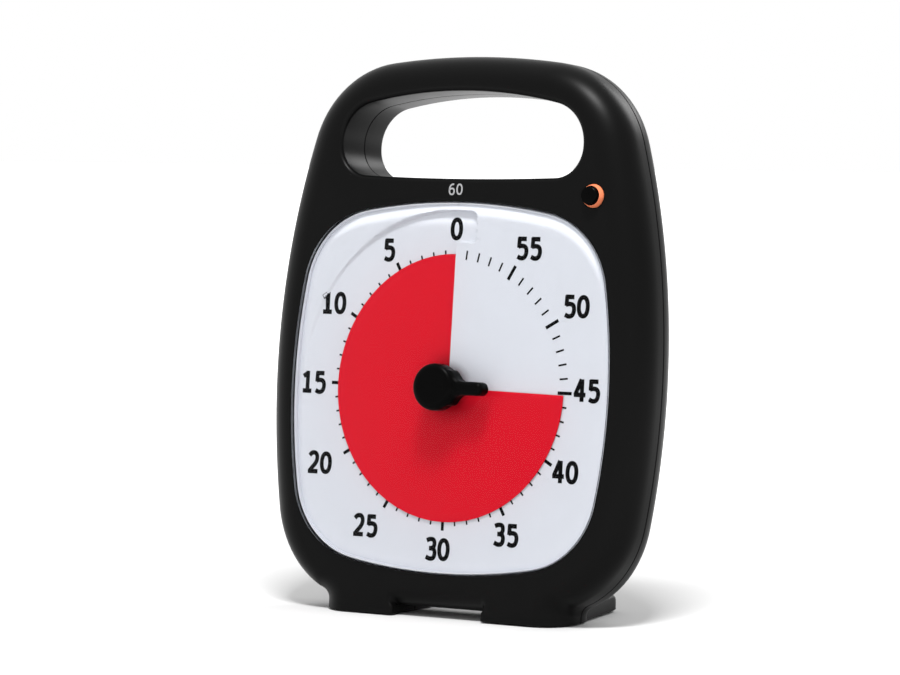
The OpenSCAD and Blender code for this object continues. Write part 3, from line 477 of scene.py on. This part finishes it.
# %% [markdown]
# ## Two housing shells
# Front and rear shell are the same rim, turned round: a quarter-round from the face out to
# the flank, the flank back to a small chamfer at the parting line, and the inside skin a
# wall's thickness in. The handle opening has its own rounded lip and wall.


# %% The rim and the handle opening
CHAMFER, LIP, LIP_CHAMFER, LIP_WALL = 0.35, 1.6, 0.3, 1.7


def moved(line, inset, inset_r, y, y_r):
    """The outline at an inset and a depth, each with a share of the edge's own radius."""
    made = []
    for x, z, nx, nz, r, level in line:
        d, back = inset + inset_r*r, y + y_r*r
        made.append((x - d*nx, back, z - d*nz + level*back*sin(LEAN)/cos(LEAN)))
    return made


def shell(skin, face, way, edge=12):
    """Adds the rim and the opening; returns the loops of the outer and the inner face."""
    turn = [radians(90*i/edge) for i in range(edge + 1)]
    outer = [skin.ring(moved(foot_line, 0, 1 - sin(a), face, way*(1 - cos(a)))) for a in turn]
    outer.append(skin.ring(moved(foot_line, 0, 0, SPLIT - way*CHAMFER, 0)))
    outer.append(skin.ring(moved(foot_line, CHAMFER, 0, SPLIT, 0)))
    outer.append(skin.ring(moved(room_line, WALL, 0, SPLIT, 0)))
    for a in turn[::-3]:
        outer.append(skin.ring(moved(room_line, WALL*sin(a), 1 - sin(a),
                                     face + way*WALL*cos(a), way*(1 - cos(a)))))
    lip = [skin.ring(grown(hole_line, LIP*(1 - sin(a)), face + way*LIP*(1 - cos(a))))
           for a in turn[::2]]
    lip += [skin.ring(grown(hole_line, d, y)) for d, y in (
        (0, SPLIT - way*LIP_CHAMFER), (LIP_CHAMFER, SPLIT), (LIP_WALL, SPLIT),
        (LIP_WALL, face + way*WALL))]
    skin.bands(outer)
    skin.bands(lip)
    return (outer[0], lip[0]), (outer[-1], lip[-1])


# %% [markdown]
# ## Front shell
# The front adds the window for the lens. The well of the volume knob reaches into the
# rounded edge, where no outline could follow it, so it is drilled with a Boolean modifier
# that is applied at once. A Boolean only works on a mesh that doesn't cut through itself.


# %% A drilled well
def drilled(piece, places, profile, crease=28):
    """Cuts a body of revolution, given as (radius, depth) pairs, out of a piece."""
    drill = Skin()
    for x, z in places:
        loops = [drill.ring(circle(x, z, r, y, 72)) for r, y in profile]
        drill.bands(loops)
        drill.flat(loops[0])
        drill.flat(loops[-1])
    tool = drill.piece("drill", piece.data.materials[0], "housing", "housing")
    cut = piece.modifiers.new("drilled", "BOOLEAN")
    cut.operation, cut.object, cut.solver = "DIFFERENCE", tool, "EXACT"
    seen = piece.evaluated_get(bpy.context.evaluated_depsgraph_get())
    mesh = bpy.data.meshes.new_from_object(seen)
    piece.modifiers.clear()
    piece.data = mesh
    mesh.set_sharp_from_angle(angle=radians(crease))
    bpy.data.objects.remove(tool)
    print(piece.name, "drilled:", len(mesh.polygons), "faces")


# %% Front housing
VOLUME = (49.5, 60.8)
FIT = 0.15
front = Skin()
(face_edge, face_hole), (back_edge, back_hole) = shell(front, 0, 1)
window = [front.ring(grown(lens_line, FIT, y)) for y in (0, WALL)]
front.band(*window, smooth=False)
front.flat(face_edge, face_hole, window[0])
front.flat(back_edge, back_hole, window[1])
front_shell = front.piece("front_shell", housing_black, "housing", "housing", "front_housing")
WELL_R, WELL_DEPTH, SHAFT_R = 3.9, 0.8, 1.55
drilled(front_shell, [VOLUME], [(WELL_R, -1), (WELL_R, WELL_DEPTH), (SHAFT_R, WELL_DEPTH),
                                (SHAFT_R, WALL + 1)])

# %% [markdown]
# ## Rear shell
# The back has six screw wells, sound slots over the speaker, and the battery door's recess
# with the bay below it. Behind each foot a low heel runs back, which lets the timer lean.
# The heels are a mesh of their own, because they enter the shell, and the Boolean that
# drills the screw wells would drop whatever cuts through it.


# %% Rear housing
def box_loop(x0, x1, z0, z1, y):
    """A rectangle at depth y."""
    return [(x0, y, z0), (x1, y, z0), (x1, y, z1), (x0, y, z1)]


def door_loop(d, y):
    """The battery door's outline with its tab, moved out by d."""
    x, z0, z1, tab = DOOR_HALF + d, DOOR_LOW - d, DOOR_TOP + d, TAB_HALF + d
    top = z1 + TAB_H
    return [(-x, y, z0), (x, y, z0), (x, y, z1), (tab, y, z1), (tab, y, top), (-tab, y, top),
            (-tab, y, z1), (-x, y, z1)]


SPEAKER, SPEAKER_R, SLOT_PITCH, SLOT_HALF = (-48.5, 8), 8, 3, 0.6
DOOR_HALF, DOOR_LOW, DOOR_TOP, DOOR_Y, TAB_HALF, TAB_H = 30, -58, -38.7, 22.55, 5, 6.4
BAY, BAY_Y = (-28.2, 28.2, -56.3, -40.4), 7.6
rear = Skin()
(face_edge, face_hole), (back_edge, back_hole) = shell(rear, BODY_D, -1)
holes, slots = [], []
for i in range(-2, 3):
    half, z = sqrt(SPEAKER_R**2 - (SLOT_PITCH*i)**2), SPEAKER[1] + SLOT_PITCH*i
    mouth = [rear.ring(box_loop(SPEAKER[0] - half, SPEAKER[0] + half, z - SLOT_HALF,
                                z + SLOT_HALF, y)) for y in (BODY_D, BODY_D - WALL)]
    rear.band(*mouth, smooth=False)
    holes.append(mouth[0])
    slots.append(mouth[1])
recess = [rear.ring(door_loop(FIT, y)) for y in (BODY_D, DOOR_Y)]
bay = [rear.ring(box_loop(*BAY, y)) for y in (DOOR_Y, BAY_Y)]
rear.band(*recess, smooth=False)
rear.band(*bay, smooth=False)
rear.flat(recess[1], bay[0])
rear.flat(bay[1])
rear.flat(face_edge, face_hole, *holes, recess[0])
rear.flat(back_edge, back_hole, *slots)
print("openings in the back:", len(holes) + 1)

# %% Heels
TOE_Y, HEEL_H, HEEL_EDGE, HEEL_ROUND = -23.489, 5.8, 1.8, 6
HEEL_IN, HEEL_OUT, HEEL_FLARE, HEEL_FRONT, HEEL_BACK = 16.5, 39.5, 43.8, 17.9, 49


def on_floor(p):
    """From millimetres behind the toe and above the table to the model's metres."""
    return Vector((p[0], p[1] + TOE_Y, p[2]))*0.001


def heel_loop(sx, d, z, turn=10):
    """The plan of one heel, drawn in by d, at height z."""
    cuts = [(HEEL_ROUND*(1 - cos(a)), HEEL_ROUND*(1 - sin(a)))
            for a in (radians(90*i/turn) for i in range(turn + 1))]
    plan = ([(HEEL_FLARE, HEEL_FRONT)] + [(HEEL_OUT - c, HEEL_BACK - s) for c, s in cuts]
            + [(HEEL_IN + s, HEEL_BACK - c) for c, s in cuts] + [(HEEL_IN, HEEL_FRONT)])
    mx, my, hx, hy = 27.85, 33.45, 11.65, 15.55
    return [(sx*((x - mx)*(1 - d/hx) + mx), (y - my)*(1 - d/hy) + my, z) for x, y in plan]


heels = Skin()
for sx in (-1, 1):
    levels = [(0.6, 0.5), (0, 1.0)]
    levels += [(HEEL_EDGE*(1 - cos(a)), HEEL_H - HEEL_EDGE*(1 - sin(a)))
               for a in (radians(15*i) for i in range(7))]
    heel = [heels.ring(heel_loop(sx, d, z), on_floor) for d, z in levels]
    heels.bands(heel)
    heels.flat(heel[0])
    heels.flat(heel[-1])
heels.piece("heels", housing_black, "housing", "housing")

# %% Rear shell with its screw wells
rear_shell = rear.piece("rear_shell", housing_black, "housing", "housing", "rear_housing")
SCREWS = [(s*x, z) for s in (-1, 1) for x, z in ((51.3, 80), (58.5, 44), (56.4, -44))]
SCREW_R, SCREW_Y = 2.8, 17.5
drilled(rear_shell, SCREWS, [(SCREW_R, BODY_D + 1), (SCREW_R, SCREW_Y)])

# %% [markdown]
# ## Lens
# The lens stands a little over a millimetre out of the housing. Its edge is rounded on the
# outside and its skirt reaches down to the dial's flange. A hole in the middle lets the
# knob through.

# %% Clear lens
PROUD, LENS_EDGE, BORE_R = 1.2, 0.9, 4.6
lens = Skin()
turn = [radians(90*i/6) for i in range(7)]
cover = [lens.ring(grown(lens_line, -LENS_EDGE*(1 - sin(a)), -PROUD + LENS_EDGE*(1 - cos(a))))
         for a in turn]
cover += [lens.ring(grown(lens_line, d, y)) for d, y in (
    (0, 2.25), (1, 2.25), (1, 3.3), (-0.5, 3.3), (-0.5, 0.2), (-0.8, 0))]
lens.bands(cover)
bore = [lens.ring(circle(0, 0, BORE_R, y)) for y in (-PROUD, 0)]
lens.band(*bore)
lens.flat(cover[0], bore[0])
lens.flat(cover[-1], bore[1])
lens.piece("lens_cover", lens_clear, "housing", "lens", "clear_lens")

# %% [markdown]
# ## Dial with its spiral recess
# The dial is a ramp that rises by 1.6 mm over one turn, so that the disc can slide under its
# own start at zero. Around the ramp lies the field. In the first quarter turn from zero it
# stands higher than the ramp and comes down to it, which leaves a spiral recess; a small
# pocket lies to the right of zero. The whole dial is one height field in polar steps: the
# distance to the recess decides how deep a point lies.
# Around the field a white upstand rises inside the lens's skirt and hides the black wall.


# %% Depth of the dial at a radius and an angle, anticlockwise from zero
RAMP_LOW, PITCH, SLIT_R, SOFT = 2.5, 1.6, 45, 0.5
RECESS_R, POCKET_MID, POCKET_HALF, POCKET_REACH, POCKET_ROUND = 55.6, 50.8, 3.0, 5.4, 1.8


def ramp(a):
    """Depth of the ramp at an angle."""
    return RAMP_LOW - PITCH*a/360


def step(u):
    """A soft step from 0 to 1."""
    u = min(max(u, 0), 1)
    return u*u*(3 - 2*u)


def polar(r, a, y):
    """A point of the dial from its radius and its angle in degrees."""
    return (-r*sin(radians(a)), y, r*cos(radians(a)))


def reach(line, a):
    """Distance from the centre to an outline of (x, y, z) points, along angle a."""
    sx, sz, best = -sin(radians(a)), cos(radians(a)), 0
    for p, q in zip(line, line[1:] + line[:1]):
        dx, dz = q[0] - p[0], q[2] - p[2]
        k = sx*dz - sz*dx
        if abs(k) > 1e-9:
            u, v = (p[0]*dz - p[2]*dx)/k, (p[0]*sz - p[2]*sx)/k
            if u > best and -0.001 <= v <= 1.001:
                best = u
    return best


def to_recess(r, a):
    """Distance to the edge of the recess, negative inside it."""
    if a < 0:
        dx, dy = -radians(a)*r - POCKET_REACH, abs(r - POCKET_MID) - POCKET_HALF
        return hypot(max(dx, 0), max(dy, 0)) + min(max(dx, dy), 0) - POCKET_ROUND
    return r - RECESS_R


def dial_depth(r, a):
    """Depth of the dial's surface anywhere."""
    if r < SLIT_R:
        return ramp(a)
    if a > 300:
        high, low, a = ramp(a), ramp(0), a - 360
    else:
        high, low = ramp(a), ramp(a)
        if a < 90:
            high = ramp(360) + (ramp(90) - ramp(360))*a/90
    return high + (low - high)*step(0.5 - to_recess(r, a)/SOFT)


# %% Dial plate
SLIT, ROWS, UPSTAND_T, UPSTAND_TOP, FLANGE_Y, DIAL_T = 0.4, 56, 0.15, 0.5, 3.4, 0.6
FIELD_IN, WALL_IN, FLANGE_OUT, COVE, COVE_W = -0.8, -0.7, 0.9, 0.15, 2.4
columns_at = ([SLIT, 1.2] + [2.4*i for i in range(1, 146)] + [350.4 + 0.4*i for i in range(1, 24)]
              + [360 - SLIT])
rims = [grown(lens_line, d, 0) for d in (FIELD_IN, WALL_IN, FLANGE_OUT)]
dial = Skin()
columns = []
for a in columns_at:
    rim, wall, flange = (reach(line, a) for line in rims)
    rows = [(r, ramp(a)) for r in (4.3, 9, 15, 21, 27, 33, 39, 44.9)]
    for i in range(ROWS + 1):
        r = SLIT_R + (rim - SLIT_R)*i/ROWS
        rows.append((r, dial_depth(r, a) + COVE*max(0, 1 - (rim - r)/COVE_W)**2))
    rows += [(wall, UPSTAND_TOP), (wall + UPSTAND_T, UPSTAND_TOP),
             (wall + UPSTAND_T, FLANGE_Y), (flange, FLANGE_Y)]
    columns.append(dial.ring([polar(r, a, y) for r, y in rows]))
dial.bands(columns, closed=False)
dial.band(columns[-1][8:], columns[0][8:], closed=False)
plate = dial.piece("dial_face", dial_white, "housing", "dial", "dial_plate", crease=50,
                   sheet=True)
plate.modifiers.new("thickness", "SOLIDIFY").thickness = DIAL_T*0.001

# %% [markdown]
# ## Minute marks and numerals
# The marks are printed. A long mark stands at every fifth minute and short ones between.
# The numerals are drawn as a sign painter would, in a few strokes of one width with square
# ends. Corner cutting rounds a rough path into a curve, and the stroke is a thin ribbon of
# ink that follows the dial's own height.


# %% Ribbons of ink
SUNK = 0.03


def on_dial(x, z):
    """Depth of the dial under a point of its print."""
    return dial_depth(hypot(x, z), degrees(atan2(-x, z)) % 360)


def rounded(path, closed=False):
    """The path with its corners cut three times."""
    path = [Vector(p) for p in path]
    for _ in range(3):
        cut = []
        for p, q in zip(path, path[1:] + (path[:1] if closed else [])):
            cut += [p*0.75 + q*0.25, p*0.25 + q*0.75]
        path = cut if closed else [path[0]] + cut + [path[-1]]
    return path


def ribbon(skin, path, half, closed=False, under=on_dial, lift=0.05):
    """Adds a stroke of ink along a path; it stands lift above the surface below it."""
    n, rings = len(path), []
    for i, p in enumerate(path):
        before = path[i - 1] if closed or i else p
        after = path[(i + 1) % n] if closed or i < n - 1 else p
        along = (after - before).normalized()
        side = Vector((-along[1], along[0]))*half
        edges = [p + side, p - side]
        rings.append(skin.ring([(x, under(x, z) - lift, z) for x, z in edges]
                               + [(x, under(x, z) + SUNK, z) for x, z in edges[::-1]]))
    skin.bands(rings)
    if closed:
        skin.band(rings[-1], rings[0])
    else:
        skin.faces += [tuple(rings[0]), tuple(rings[-1])]
        skin.smooth += [False, False]


# %% Minute marks
LONG_MARK, SHORT_MARK = (39.7, 44.7, 0.52), (40.4, 43.3, 0.28)
marks = Skin()
for minute in range(1, 60):
    inner, outer, half = SHORT_MARK if minute % 5 else LONG_MARK
    ends = [polar(r, minute*6, 0) for r in (inner, outer)]
    ribbon(marks, [Vector((p[0], p[2])) for p in ends], half)
marks.piece("minute_marks", ink_black, "housing", "dial")

# %% Strokes of the digits, in a box one wide and one high
DIGITS = {
    "0": [[(.24, .5), (.5, .22), (.5, -.22), (.24, -.5), (-.24, -.5), (-.5, -.22), (-.5, .22),
           (-.24, .5)]],
    "1": [[(.06, .595), (.06, -.58)], [(.06, .47), (-.46, .3)], [(-.5, -.5), (.56, -.5)]],
    "2": [[(-.46, .36), (-.16, .54), (.34, .52), (.52, .26), (.34, -.04), (-.2, -.34),
           (-.42, -.52)], [(-.6, -.5), (.58, -.5)]],
    "3": [[(-.46, .44), (-.06, .54), (.42, .5), (.48, .2), (.26, .04), (-.16, .03)],
          [(-.16, .03), (.4, .02), (.56, -.2), (.42, -.5), (-.04, -.55), (-.5, -.44)]],
    "4": [[(.16, .595), (-.5, -.24)], [(-.66, -.23), (.66, -.23)], [(.24, .595), (.24, -.595)]],
    "5": [[(-.44, .5), (.5, .5)], [(-.3, .58), (-.34, .02)],
          [(-.4, .08), (-.02, .14), (.44, .08), (.56, -.18), (.4, -.48), (-.04, -.56),
           (-.48, -.45)]],
    "6": [[(.4, .52), (-.1, .48), (-.48, .2), (-.52, -.28), (-.26, -.54), (.3, -.54),
           (.52, -.24), (.34, .06), (-.2, .08), (-.5, -.1)]],
}


def written(skin, text, x, z, width, height, pitch, half, under=on_dial):
    """Writes digits centred on (x, z); later strokes lie a little higher than earlier ones."""
    for k, digit in enumerate(text):
        middle = Vector((x + (k - (len(text) - 1)/2)*pitch, z))
        for n, path in enumerate(DIGITS[digit]):
            line = [middle + Vector((u*width, v*height)) for u, v in path]
            line = rounded(line, digit == "0") if len(line) > 2 else line
            ribbon(skin, line, half, digit == "0", under, 0.05 + 0.004*n)


# %% Numerals
CENTRES = [(-0.8, 49.9), (-25.7, 42.8), (-45.6, 25.4), (-51.8, -0.1), (-47.8, -25.7),
           (-29.1, -44.7), (-1.6, -50.6), (23.3, -44.7), (43.7, -24.2), (50.0, 1.1),
           (44.9, 26.8), (26.8, 44.3)]
numerals = Skin()
for k, (x, z) in enumerate(CENTRES):
    written(numerals, str(5*k), x, z, width=3.15, height=5.8, pitch=4.9, half=0.71)
numerals.piece("numerals", ink_black, "housing", "dial")

# %% Plain sixty above the lens
sixty = Skin()
written(sixty, "60", -0.4, 62.2, width=1.8, height=3.05, pitch=2.8, half=0.25,
        under=lambda x, z: 0)
sixty.piece("range_mark", ink_grey, "housing", "dial")

# %% [markdown]
# ## Red disc
# The disc is a thin film on the same helix as the dial. It is wound so that what has come
# out of the slit shows the minutes left, and the rest lies under the dial.

# %% Disc of red film
REST, FILM_IN, FILM_OUT, FILM_LIFT, FILM_T = 45*6, 3.8, 42, 0.5, 0.2
film = Skin()
film_columns = [film.ring([polar(r, a, ramp(a) - FILM_LIFT)
                           for r in (FILM_IN, 13, 23, 33, FILM_OUT - 0.1, FILM_OUT)])
                for a in (REST - 359 + 2*i for i in range(180))]
film.bands(film_columns, closed=False)
red = film.piece("disc_film", disc_red, "disc", "disc", "red_disc", crease=50, sheet=True)
red.modifiers.new("thickness", "SOLIDIFY").thickness = FILM_T*0.001

# %% [markdown]
# ## Turned pieces
# The disc's boss, the volume cap and the orange collar under it are bodies of revolution.
# Small fillets on their rims catch the light, which a plain cylinder's edge never does. The
# collar is a low cone, so it shows beside the cap as a crescent.


# %% Boss of the disc and collar of the volume knob
def turned(skin, profile, x=0, z=0, n=64):
    """Adds a body of revolution from (radius, depth) pairs."""
    loops = [skin.ring(circle(x, z, r, y, n)) for r, y in profile]
    skin.bands(loops)
    skin.flat(loops[0])
    skin.flat(loops[-1])


boss = Skin()
boss_rings = [boss.ring(circle(0, 0, r, y, 64)) for r, y in (
    (2.6, 0.8), (2.6, 0.62), (3.6, 0.62), (3.75, 0.67), (3.8, 0.8), (3.8, 2.6), (2.6, 2.6))]
boss.bands(boss_rings + boss_rings[:1])
boss.piece("disc_boss", disc_red, "disc", "disc", "disc_hub")
collar = Skin()
collar_rings = [collar.ring(circle(*VOLUME, r, y, 64)) for r, y in (
    (1.6, 0.25), (3.0, 0.2), (3.0, -1.5), (3.08, -1.58), (3.18, -1.54), (3.6, -0.15),
    (3.66, 0.1), (3.66, 0.7), (1.6, 0.7))]
collar.bands(collar_rings + collar_rings[:1])
collar.piece("volume_collar", ring_orange, "housing", "ring", "volume_ring")

# %% Volume cap with its pointer rib
CAP_FACE = -3.1
cap = Skin()
turned(cap, [(2.2, CAP_FACE), (2.5, CAP_FACE + 0.05), (2.72, CAP_FACE + 0.25),
             (2.82, CAP_FACE + 0.6), (2.88, -0.2), (2.88, 0.15), (1.4, 0.15), (1.4, 2)], *VOLUME)
ribbon(cap, [Vector((VOLUME[0], VOLUME[1] + z)) for z in (0.5, 2.3)], 0.25,
       under=lambda x, z: CAP_FACE)
cap.piece("volume_knob", knob_black, "volume", "knob", "volume_cap")

# %% [markdown]
# ## Knob
# The knob is one moulding: a drum with a rounded front, and a pointer that grows out of it
# in a soft fillet. The drum is turned from a profile and the pointer is a rounded bar; a
# fine voxel remesh melts the two together, and a few smoothing steps make the fillet.


# %% Knob
def pointer(skin, tip_x, half, front, back, edge):
    """Adds the pointer: a bar that widens into the drum, with a round end."""
    turn = [radians(90*i/4) for i in range(5)]
    layers = [(edge*(1 - sin(a)), front + edge*(1 - cos(a))) for a in turn] + [(0, back)]
    centre = tip_x - half
    loops = []
    for inset, y in layers:
        side = [(x, half + FLARE*max(0, (FLARE_END - x)/FLARE_RUN)**2 - inset)
                for x in (2.5, 4, 5.5, 6.3, 7.1, 7.9, 8.7, 9.5, 11, 12.5, 14)]
        end = [(centre + (half - inset)*cos(a), (half - inset)*sin(a))
               for a in (radians(90 - 180*i/16) for i in range(1, 16))]
        line = [(x, min(z, FLARE_MAX)) for x, z in side] + [(centre, half - inset)] + end
        line += [(centre, inset - half)] + [(x, -min(z, FLARE_MAX)) for x, z in side[::-1]]
        loops.append(skin.ring([(x, y, z) for x, z in line]))
    skin.bands(loops)
    skin.flat(loops[0])
    skin.flat(loops[-1])


TIP_X, POINTER_HALF, POINTER_FRONT, POINTER_BACK, POINTER_EDGE = 17.2, 2.15, -7.7, -2.7, 1.2
FLARE, FLARE_END, FLARE_RUN, FLARE_MAX = 3.2, 9.5, 3.5, 5.5
knob = Skin()
turned(knob, [(3.6, -9.2), (5.4, -9.2), (6.2, -9.05), (6.85, -8.7), (7.25, -8.1), (7.4, -7.3),
              (7.4, -4), (7.2, -3.4), (6.7, -2.6), (5.8, -1.7), (4.2, -1.6), (4.2, -0.25)])
pointer(knob, TIP_X, POINTER_HALF, POINTER_FRONT, POINTER_BACK, POINTER_EDGE)
knob_piece = knob.piece("knob_with_pointer", knob_black, "knob", "knob", "set_knob")
melt = knob_piece.modifiers.new("melt", "REMESH")
melt.mode, melt.voxel_size, melt.use_smooth_shade = "VOXEL", 0.00022, True
soften = knob_piece.modifiers.new("soften", "SMOOTH")
soften.factor, soften.iterations = 0.5, 9

# %% [markdown]
# ## Floor, light and camera
# The table is a plain pale sheet. It keeps the soft shadow of the timer, and further away it
# glows white for the camera and for mirrors alone, as the world behind it does, so no horizon
# shows. A small lamp in front and above draws the soft highlight on the handle's corner and
# the knob's shadow on the disc. A larger one fills the back.

# %% Floor
NEAR, FAR, SIZE = 0.16, 0.6, 6
studio = Finish("studio_floor")
seen = studio.node("ShaderNodeLightPath", {}, {}, "Is Camera Ray")
mirrored_ray = studio.node("ShaderNodeLightPath", {}, {}, "Is Glossy Ray")
away = studio.node("ShaderNodeVectorMath", {"operation": "LENGTH"}, {0: studio.place}, "Value")
fade = studio.node("ShaderNodeMapRange", {"interpolation_type": "SMOOTHSTEP"}, {
    "Value": away, "From Min": NEAR, "From Max": FAR, "To Min": 0.0, "To Max": 1.0})
cloud = studio.noise(6, 2)
studio.close(studio.node("ShaderNodeBsdfPrincipled", {}, {
    "Base Color": studio.between(cloud, (0.55, 0.55, 0.55), (0.57, 0.57, 0.57)),
    "Roughness": 0.9, "Specular IOR Level": 0.1, "Emission Strength": 1.0,
    "Emission Color": studio.between((seen + mirrored_ray)*fade, (0, 0, 0), (1, 1, 1))}))
sheet = bpy.data.meshes.new("floor")
sheet.from_pydata([(-SIZE, -SIZE, 0), (SIZE, -SIZE, 0), (SIZE, SIZE, 0), (-SIZE, SIZE, 0)], [],
                  [(0, 1, 2, 3)])
sheet.materials.append(studio.material)
floor = bpy.data.objects.new("floor", sheet)
bpy.context.scene.collection.objects.link(floor)

# %% World and lamps
AIR = 0.9
room = Finish("studio", bpy.data.worlds.new("studio"))
rays = [room.node("ShaderNodeLightPath", {}, {}, f"Is {kind} Ray")
        for kind in ("Camera", "Glossy", "Transmission")]
level = room.node("ShaderNodeMapRange", {}, {
    "Value": rays[0] + rays[1] + rays[2], "To Min": AIR, "To Max": 1.0})
room.close(room.node("ShaderNodeBackground", {}, {"Color": (1, 1, 1, 1), "Strength": level}),
           "ShaderNodeOutputWorld")
bpy.context.scene.world = room.material


def lamp(name, place, aim, size, watts):
    """Adds a rectangular lamp that looks at a point."""
    data = bpy.data.lights.new(name, "AREA")
    data.shape, data.size, data.size_y, data.energy = "RECTANGLE", size[0], size[1], watts
    made = bpy.data.objects.new(name, data)
    made.location = place
    made.rotation_euler = (Vector(aim) - Vector(place)).to_track_quat("-Z", "Y").to_euler()
    bpy.context.scene.collection.objects.link(made)


lamp("key", (0.26, -0.46, 1.1), (0, 0, 0.1), (0.28, 0.2), 17.3)
lamp("back_fill", (0.35, 1.2, 0.9), (0, 0, 0.08), (0.7, 0.7), 10)

# %% Camera
DISTANCE = 1.25
back = Vector((0.53587, -0.84201, 0.06211)).normalized()
target = DIAL + Vector((0.00066, 0.00093, 0.01571))
view = bpy.data.cameras.new("camera")
view.lens, view.sensor_width, view.clip_start = 160, 36, 0.05
camera = bpy.data.objects.new("camera", view)
camera.location = target + back*DISTANCE
camera.rotation_euler = (-back).to_track_quat("-Z", "Y").to_euler()
bpy.context.scene.collection.objects.link(camera)
bpy.context.scene.camera = camera
bpy.context.scene.view_settings.view_transform = "Standard"
print("camera at", camera.location)
